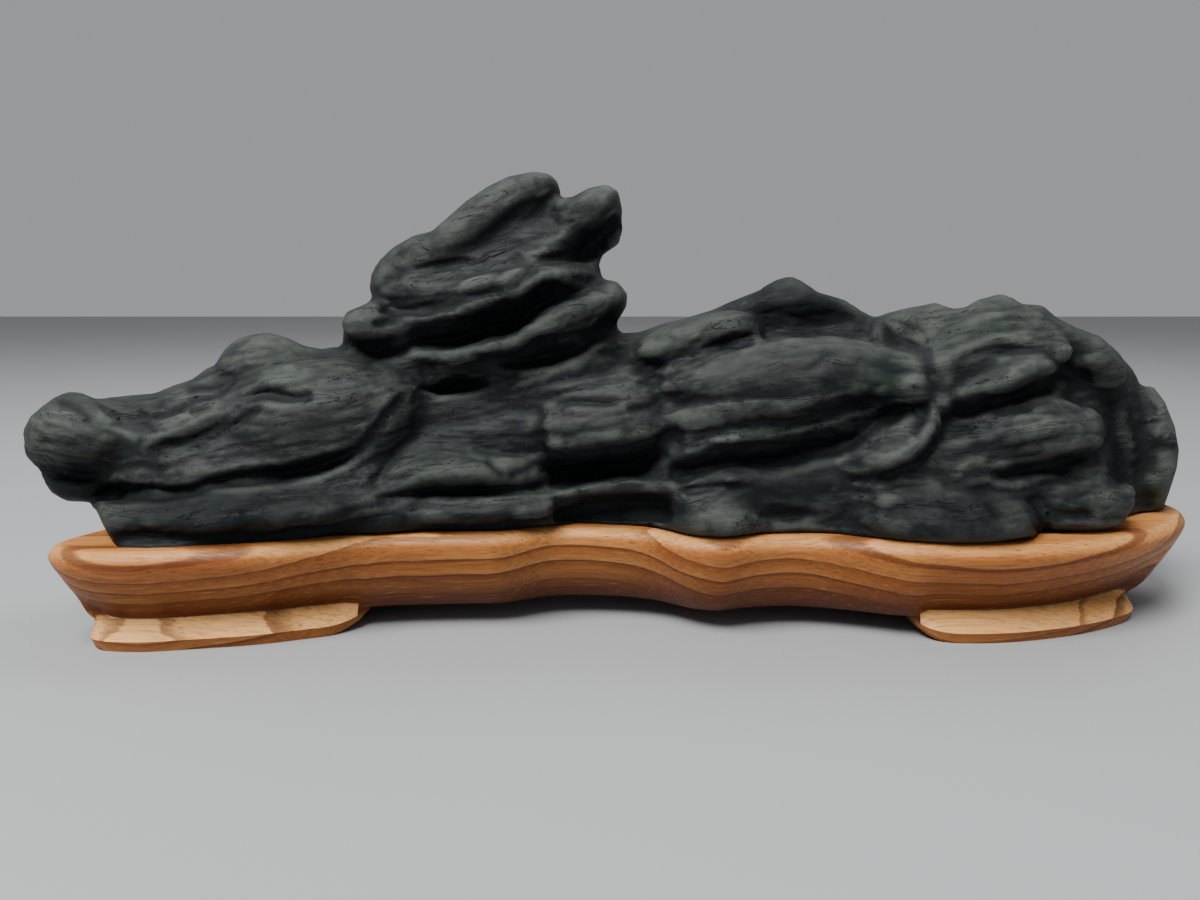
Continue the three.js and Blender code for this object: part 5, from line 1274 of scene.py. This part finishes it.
@dataclass
class Stone:
    """The stone, one natural piece.

    `passes` are the remeshings, each a voxel size and the rounds of settling after it. `near_hollow` and
    `wide_hollow` are the rounds of smoothing that tell a hollow, and the depth in mm that counts as full.
    `fold_sizes` are the folds' waves along, over and through the layers, and their heights in mm.
    """

    node: str = "stone"
    slot: str = "stone"
    passes: tuple[tuple[float, int], ...] = ((2.2 * MM, 4), (1.1 * MM, 3))
    triangles: int = 190_000
    rim_calm: Span = (2.0, 16.0)
    rim_furrow: float = 0.4
    end_calm: Span = (1185.0, 1120.0)
    end_least: float = 0.3
    foot_calm: float = 4.0
    rubbed_face: Span = (8.0, -8.0)
    hollow_softening: Span = (0.15, 0.5)
    softening_rounds: int = 3
    near_hollow: tuple[int, float] = (12, 0.8)
    wide_hollow: tuple[int, float] = (110, 3.2)
    # How much of the near and the wide hollowness goes into the painted shade.
    recess_shade_parts: tuple[float, float] = (0.8, 0.3)
    ridge_part: float = 0.2
    grid_scale: Point = (0.8, 0.92, 1.3)
    fold_sizes: tuple[tuple[Point, float], ...] = (
        ((1 / 42, 1 / 9.5, 1 / 24), 1.0),
        ((1 / 20, 1 / 4.6, 1 / 12), 0.6),
        ((1 / 9, 1 / 2.6, 1 / 6), 0.35),
    )
    smooth_share: float = 0.8

    def build(self) -> Piece:
        """Models and dresses the stone.

        Returns:
            The finished piece, which stands for the solid of the same name.
        """
        form = StoneForm()
        piece = self.rough_out()
        strata = Strata()
        for voxel, rounds in self.passes:
            set_coordinates(piece, coordinates(piece) * self.grid_scale)
            apply_modifier(piece, "REMESH", mode="VOXEL", voxel_size=voxel)
            points = coordinates(piece) / self.grid_scale / MM + DRAWING.origin
            set_coordinates(piece, (form.settle(points, rounds) - DRAWING.origin) * MM)
        self.weather(piece, form, strata)
        self.relax(piece)
        self.paint(piece, form, strata)
        share = self.triangles / (2 * len(piece.data.polygons))
        apply_modifier(piece, "DECIMATE", ratio=min(share, 1.0))
        keep_in_box(piece, self.node)
        activate(piece)
        bpy.ops.object.shade_smooth()
        piece.data.materials.clear()
        piece.data.materials.append(StoneFinish().build())
        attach(piece, "root")
        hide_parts(self.node)
        log.info("stone: %d faces", len(piece.data.polygons))
        return piece

    def rough_out(self) -> Piece:
        """A merged copy of the stone's solid, to be remeshed."""
        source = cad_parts[self.node]
        piece = bpy.data.objects.new("stone_surface", source.data.copy())
        bpy.context.collection.objects.link(piece)
        with editing(piece):
            bpy.ops.mesh.remove_doubles(threshold=STONE_WELD)
        return piece

    def weather(self, piece: Piece, form: StoneForm, strata: Strata) -> None:
        """Wrinkles the surface along its layers, less where it is rubbed smooth."""
        points = coordinates(piece)
        places = points / MM + DRAWING.origin
        across, down, _ = DRAWING.sight(places[:, 0], places[:, 1], places[:, 2])
        normals = coordinates(piece, "normal")
        layered = strata.read(places)
        middle = (form.front.read(across, down) + form.back.read(across, down)) / 2
        rubbed = strongest(SMOOTH, across, down) * smoothstep(*self.rubbed_face, places[:, 1] - middle)
        above_foot = smoothstep(form.skirt, form.skirt + self.foot_calm, places[:, 2])
        strength = (1 - self.smooth_share * rubbed) * above_foot
        height = np.zeros(len(points))
        for scale, size in self.fold_sizes:
            height += size * folds(layered * scale)
        height *= smoothstep(*self.end_calm, across) * (1 - self.end_least) + self.end_least
        inner = smoothstep(*self.rim_calm, -form.edge.read(across, down))
        height = inner * height - (1 - inner) * self.rim_furrow * np.abs(height)
        set_coordinates(piece, points + normals * (height * strength * MM)[:, None])

    def relax(self, piece: Piece) -> None:
        """Smooths the surface a little where it is sharply hollow, as at the foot of an overhang."""
        points = coordinates(piece)
        smoothed = self.smoothed(piece, points, self.softening_rounds)
        hollow = ((smoothed - points) * coordinates(piece, "normal")).sum(1) / MM
        share = smoothstep(*self.hollow_softening, np.abs(hollow))[:, None]
        set_coordinates(piece, points + (smoothed - points) * share)

    def paint(self, piece: Piece, form: StoneForm, strata: Strata) -> None:
        """Gives each corner its share of painted shade (recess), of wear and painted highlight (ridge), and
        of colour patches.
        """
        points = coordinates(piece)
        near = self.hollowness(piece, points, *self.near_hollow)
        wide = self.hollowness(piece, points, *self.wide_hollow)
        # Painted shade in hollows; ridges that stand out get a share of wear.
        recess = near * self.recess_shade_parts[0] + wide * self.recess_shade_parts[1]
        values = {"recess": np.clip(recess, 0, 1), "ridge": np.clip(-near - self.ridge_part * wide, 0, 1)}
        places = points / MM + DRAWING.origin
        across, down, _ = DRAWING.sight(places[:, 0], places[:, 1], places[:, 2])
        middle = (form.front.read(across, down) + form.back.read(across, down)) / 2
        facing = smoothstep(*form.face_turn, places[:, 1] - middle)
        # Painted shade from the drawn faces and grooves, painted highlight from their lips and ridges.
        for name, tones in (("recess", form.dark), ("ridge", form.pale)):
            front = tones[Side.FRONT].read(across, down)
            back = tones[Side.BACK].read(across, down)
            values[name] = np.clip(np.maximum(values[name], facing * front + (1 - facing) * back), 0, 1)
        # Colour patches, the dark one painted shade.
        for tint in Tint:
            values[tint.value] = strongest(TINTS[tint], across, down) * facing
        for name, share in values.items():
            attribute = piece.data.attributes.new(name, "FLOAT", "POINT")
            attribute.data.foreach_set("value", share.astype(np.float32))
        attribute = piece.data.attributes.new("layers", "FLOAT_VECTOR", "POINT")
        attribute.data.foreach_set("vector", strata.read(places).astype(np.float32).ravel())

    def hollowness(self, piece: Piece, points: Array, rounds: int, full: float) -> Array:
        """How far the surface lies under its smoothed shape, in parts of `full` mm, below zero on ridges."""
        drop = (self.smoothed(piece, points, rounds) - points) * coordinates(piece, "normal")
        return drop.sum(1) / MM / full

    def smoothed(self, piece: Piece, points: Array, rounds: int) -> Array:
        """The corners after each has moved to the middle of its neighbours, round by round."""
        edges = np.empty(len(piece.data.edges) * 2, int)
        piece.data.edges.foreach_get("vertices", edges)
        edges = edges.reshape(-1, 2)
        count = np.maximum(np.bincount(edges.ravel(), minlength=len(points)), 1)
        smoothed = points.copy()
        for _ in range(rounds):
            total = np.zeros_like(points)
            for axis in range(3):
                total[:, axis] += np.bincount(edges[:, 0], smoothed[edges[:, 1], axis], len(points))
                total[:, axis] += np.bincount(edges[:, 1], smoothed[edges[:, 0], axis], len(points))
            smoothed = total / count[:, None]
        return smoothed


@dataclass
class Stand:
    """The carved stand, one piece of wood: a waved rim, a leaning apron and four flared feet."""

    node: str = "stand"
    slot: str = "wood"
    rim_height: float = 33.0
    seat_floor: float = 27.0
    arch_height: float = 6.0
    seat_gap: float = 0.35
    rim_steps: int = 360
    foot_round: float = 14.0
    foot_width: float = 24.0
    square_inset: float = 11.0
    ring_share: int = 3
    sharp_rings: tuple[int, ...] = (0, 10, 11, 12)
    curve_steps: int = 40
    cutter_height: float = 40.0
    smooth_angle: float = math.radians(40)
    feet: tuple[tuple[Place, float], ...] = (
        ((-122.5, -53), 52), ((145.4, -42.9), 49.4), ((160, 48), 44), ((-118, 38), 44),
    )
    spine: tuple[Place, Place] = ((-112, -8), (150, 4))

    def section(self) -> list[tuple[Place, Place, Place]]:
        """The section from the rim down: inset and height in mm on the apron, a foot and the left foot."""
        rim = self.rim_height
        arch = self.arch_height
        plain = [
            *((place, place) for place in ((4.6, rim), (2.4, rim - 0.6), (0.7, rim - 2.1), (0, rim - 4.6))),
            ((1.6, 24), (2.2, 24)), ((19, arch), (self.foot_width, 0)),
            ((21, arch), (self.foot_width + 2, arch)),
        ]
        flared = [
            ((4.4, 18.5), (6.4, 18.2), (5, 18.6)), ((7.2, 13.6), (11, 12.8), (8.6, 14)),
            ((9, 10.4), (15, 9.2), (10.4, 11.6)), ((11.4, 8), (13.6, 7.8), (10.2, 9.2)),
            ((13.8, 6.6), (10, 5.6), (10.1, 6.4)), ((16, arch + 0.1), (7, 3.6), (10.6, 3.6)),
            ((17, arch), (8.4, 0), (12, 0)),
        ]
        full = [(apron, foot, foot) for apron, foot in plain]
        return [*full[:5], *flared, *full[5:]]

    def build(self) -> Piece:
        """Models and dresses the stand.

        Returns:
            The finished piece, which stands for the solid of the same name.
        """
        piece = self.carve()
        self.cut_recess(piece)
        keep_in_box(piece, self.node)
        activate(piece)
        bpy.ops.object.shade_smooth_by_angle(angle=self.smooth_angle)
        piece.data.materials.clear()
        piece.data.materials.append(WoodFinish().build())
        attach(piece, "root")
        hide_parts(self.node)
        log.info("stand: %d faces", len(piece.data.polygons))
        return piece

    def stations(self) -> tuple[Array, Array, Array, float]:
        """Evenly spaced places on the rim's edge, their outward directions and runs, and the whole length."""
        points = np.array(RIM, float)
        count = len(points)
        fine = []
        for i in range(count):
            p0, p1, p2, p3 = (points[(i + k) % count] for k in (-1, 0, 1, 2))
            fine.extend(centripetal(p0, p1, p2, p3, self.curve_steps))
        fine = np.array(fine)
        closed = np.vstack((fine, fine[:1]))
        runs = np.concatenate(([0.0], np.cumsum(np.linalg.norm(np.diff(closed, axis=0), axis=1))))
        wanted = np.arange(self.rim_steps) / self.rim_steps * runs[-1]
        at = np.stack([np.interp(wanted, runs, closed[:, axis]) for axis in (0, 1)], axis=1)
        along = np.roll(at, -1, axis=0) - np.roll(at, 1, axis=0)
        along /= np.linalg.norm(along, axis=1)[:, None]
        return at, np.stack((along[:, 1], -along[:, 0]), axis=1), wanted, float(runs[-1])

    def foot_share(self, at: Array, run: Array, length: float) -> Array:
        """How much of each station is foot, from 0 on the apron to 1 on a foot."""
        share = np.zeros(len(at))
        for near, half in self.feet:
            centre = run[np.argmin(np.hypot(at[:, 0] - near[0], at[:, 1] - near[1]))]
            apart = np.abs(run - centre)
            along = np.minimum(apart, length - apart)
            to_end = np.clip((half - along) / self.foot_round, 0.0, 1.0)
            share = np.maximum(share, np.sqrt(1.0 - (1.0 - to_end) ** 2))
        return share

    def carve(self) -> Piece:
        """Shapes a grid into the stand's skin, joins its seam and closes it over and under."""
        at, out, run, length = self.stations()
        share = self.foot_share(at, run, length)
        rings = [self.ring(at, out, share, *places) for places in self.section()]
        skin = self.between(rings)
        deselect()
        bpy.ops.mesh.primitive_grid_add(x_subdivisions=self.rim_steps, y_subdivisions=len(skin) - 1, size=2)
        piece = bpy.context.object
        piece.name = "stand_body"
        grid = coordinates(piece)
        column = np.rint((grid[:, 0] + 1) / 2 * self.rim_steps).astype(int) % self.rim_steps
        row = np.rint((1 - grid[:, 1]) / 2 * (len(skin) - 1)).astype(int)
        set_coordinates(piece, (np.array(skin)[row, column] - DRAWING.origin) * MM)
        with editing(piece):
            bpy.ops.mesh.remove_doubles(threshold=WOOD_WELD)
            bpy.ops.mesh.select_all(action="DESELECT")
            bpy.ops.mesh.select_mode(type="EDGE")
            bpy.ops.mesh.select_non_manifold()
            bpy.ops.mesh.fill_holes(sides=0)
            bpy.ops.mesh.select_all(action="SELECT")
            bpy.ops.mesh.normals_make_consistent(inside=False)
        return piece

    def ring(self, at: Array, out: Array, share: Array, apron: Place, foot: Place, left: Place) -> Array:
        """One ring of the skin, inset from the rim and at its height, mixed between apron and foot."""
        leftward = np.maximum(0.0, -out[:, 0]) ** 2
        on_foot = np.array(foot, float) + (np.array(left, float) - np.array(foot, float)) * leftward[:, None]
        mixed = np.array(apron, float) + (on_foot - np.array(apron, float)) * share[:, None]
        inset, height = mixed.T
        edge = np.minimum(inset, self.square_inset)
        here = at - out * edge[:, None]
        start, end = np.array(self.spine, float)
        spine = end - start
        t = np.clip(((at - start) @ spine) / (spine @ spine), 0.0, 1.0)
        inward = start + t[:, None] * spine - here
        inward /= np.linalg.norm(inward, axis=1)[:, None]
        here = here + inward * (inset - edge)[:, None]
        return np.column_stack((here, height))

    def between(self, rings: list[Array]) -> list[Array]:
        """Adds smooth rings between the given ones, with the foot's sharp edges kept."""
        sharp = self.sharp_rings
        filled = []
        for i in range(len(rings) - 1):
            before = rings[i] if i in sharp else rings[i - 1]
            after = rings[i + 1] if i + 1 in sharp or i + 2 >= len(rings) else rings[i + 2]
            for k in range(self.ring_share):
                t = k / self.ring_share
                filled.append(catmull_rom(before, rings[i], rings[i + 1], after, t))
        return [*filled, rings[-1]]

    def cut_recess(self, piece: Piece) -> None:
        """Sinks the recess that the stone stands in, with a cutter drawn up from the seat's outline."""
        outline = offset_outline(SEAT, self.seat_gap)
        deselect()
        bpy.ops.mesh.primitive_circle_add(vertices=len(outline), radius=1, fill_type="NGON")
        cutter = bpy.context.object
        floor = np.column_stack((outline, np.full(len(outline), self.seat_floor)))
        set_coordinates(cutter, (floor - DRAWING.origin) * MM)
        with editing(cutter):
            lift = {"value": (0, 0, self.cutter_height * MM)}
            bpy.ops.mesh.extrude_region_move(TRANSFORM_OT_translate=lift)
            bpy.ops.mesh.select_all(action="SELECT")
            bpy.ops.mesh.normals_make_consistent(inside=False)
        apply_modifier(piece, "BOOLEAN", operation="DIFFERENCE", solver="EXACT", object=cutter)
        bpy.data.objects.remove(cutter, do_unlink=True)


def catmull_rom(p0: Array, p1: Array, p2: Array, p3: Array, t: float) -> Array:
    """A point of the smooth curve from p1 to p2."""
    return 0.5 * (2 * p1 + (p2 - p0) * t + (2 * p0 - 5 * p1 + 4 * p2 - p3) * t * t
                  + (3 * p1 - p0 - 3 * p2 + p3) * t * t * t)


def centripetal(p0: Array, p1: Array, p2: Array, p3: Array, steps: int) -> list[Array]:
    """Points of the centripetal curve from p1 up to p2, without its end."""
    gaps = [math.sqrt(float(np.linalg.norm(b - a))) for a, b in ((p0, p1), (p1, p2), (p2, p3))]
    t0, t1, t2, t3 = 0.0, gaps[0], gaps[0] + gaps[1], sum(gaps)
    found = []
    for k in range(steps):
        t = t1 + (t2 - t1) * k / steps
        a1 = (t1 - t) / (t1 - t0) * p0 + (t - t0) / (t1 - t0) * p1
        a2 = (t2 - t) / (t2 - t1) * p1 + (t - t1) / (t2 - t1) * p2
        a3 = (t3 - t) / (t3 - t2) * p2 + (t - t2) / (t3 - t2) * p3
        b1 = (t2 - t) / (t2 - t0) * a1 + (t - t0) / (t2 - t0) * a2
        b2 = (t3 - t) / (t3 - t1) * a2 + (t - t1) / (t3 - t1) * a3
        found.append((t2 - t) / (t2 - t1) * b1 + (t - t1) / (t2 - t1) * b2)
    return found


def offset_outline(points: list[Place], distance: float) -> Array:
    """A plan outline moved outwards by a distance, corner by corner."""
    at = np.array(points, float)
    before = at - np.roll(at, 1, axis=0)
    after = np.roll(at, -1, axis=0) - at
    before /= np.linalg.norm(before, axis=1)[:, None]
    after /= np.linalg.norm(after, axis=1)[:, None]
    along = before + after
    along /= np.linalg.norm(along, axis=1)[:, None]
    stretch = distance / (along * after).sum(1)
    return at + np.stack((along[:, 1], -along[:, 0]), axis=1) * stretch[:, None]


@dataclass
class Studio:
    """The plain pale floor, the soft light and the camera at the drawing's eye point."""

    floor_size: float = 8.0
    floor_colour: Colour = colour(0.36, 0.365, 0.37)
    sky_colour: Colour = colour(0.80, 0.82, 0.85)
    sky_strength: float = 0.43
    lamp_at: Point = (-0.42, -0.72, 1.2)
    lamp_size: float = 0.8
    lamp_watts: float = 36.0
    back_at: Point = (0.3, 0.65, 1.35)
    back_watts: float = 6.5
    floor_roughness: float = 0.8
    sensor_width: float = 36.0
    nearest_seen: float = 0.01

    def build(self) -> None:
        """Makes the floor, the lights and the camera."""
        self.floor()
        self.light()
        self.camera()

    def floor(self) -> None:
        """A wide plain floor."""
        deselect()
        bpy.ops.mesh.primitive_plane_add(size=self.floor_size)
        floor = bpy.context.object
        floor.name = "floor"
        n = Nodes("pale floor")
        n.shader.inputs["Base Color"].default_value = self.floor_colour
        n.shader.inputs["Roughness"].default_value = self.floor_roughness
        floor.data.materials.append(n.material)

    def light(self) -> None:
        """An even sky, a wide lamp in front and a weaker one behind."""
        world = bpy.data.worlds.new("studio")
        bpy.context.scene.world = world
        world.use_nodes = True
        background = world.node_tree.nodes["Background"]
        background.inputs["Color"].default_value = self.sky_colour
        background.inputs["Strength"].default_value = self.sky_strength
        for place, watts in ((self.lamp_at, self.lamp_watts), (self.back_at, self.back_watts)):
            deselect()
            bpy.ops.object.light_add(type="AREA", location=place)
            lamp = bpy.context.object
            lamp.data.shape = "DISK"
            lamp.data.size = self.lamp_size
            lamp.data.energy = watts
            lamp.rotation_euler = Vector(place).to_track_quat("Z", "Y").to_euler()

    def camera(self) -> None:
        """The camera, whose frame is the drawing."""
        data = bpy.data.cameras.new("camera")
        data.sensor_width = self.sensor_width
        data.lens = data.sensor_width * DRAWING.distance / DRAWING.width
        data.clip_start = self.nearest_seen
        camera = bpy.data.objects.new("camera", data)
        camera.location = DRAWING.eye_in_frame()
        camera.rotation_euler = (math.pi / 2 - DRAWING.tilt, 0.0, 0.0)
        bpy.context.collection.objects.link(camera)
        bpy.context.scene.camera = camera


def main() -> None:
    """Builds the studio and the two pieces in order."""
    logging.basicConfig(level=logging.INFO, format="%(message)s")
    Studio().build()
    Stand().build()
    Stone().build()


if __name__ == "__main__":
    main()
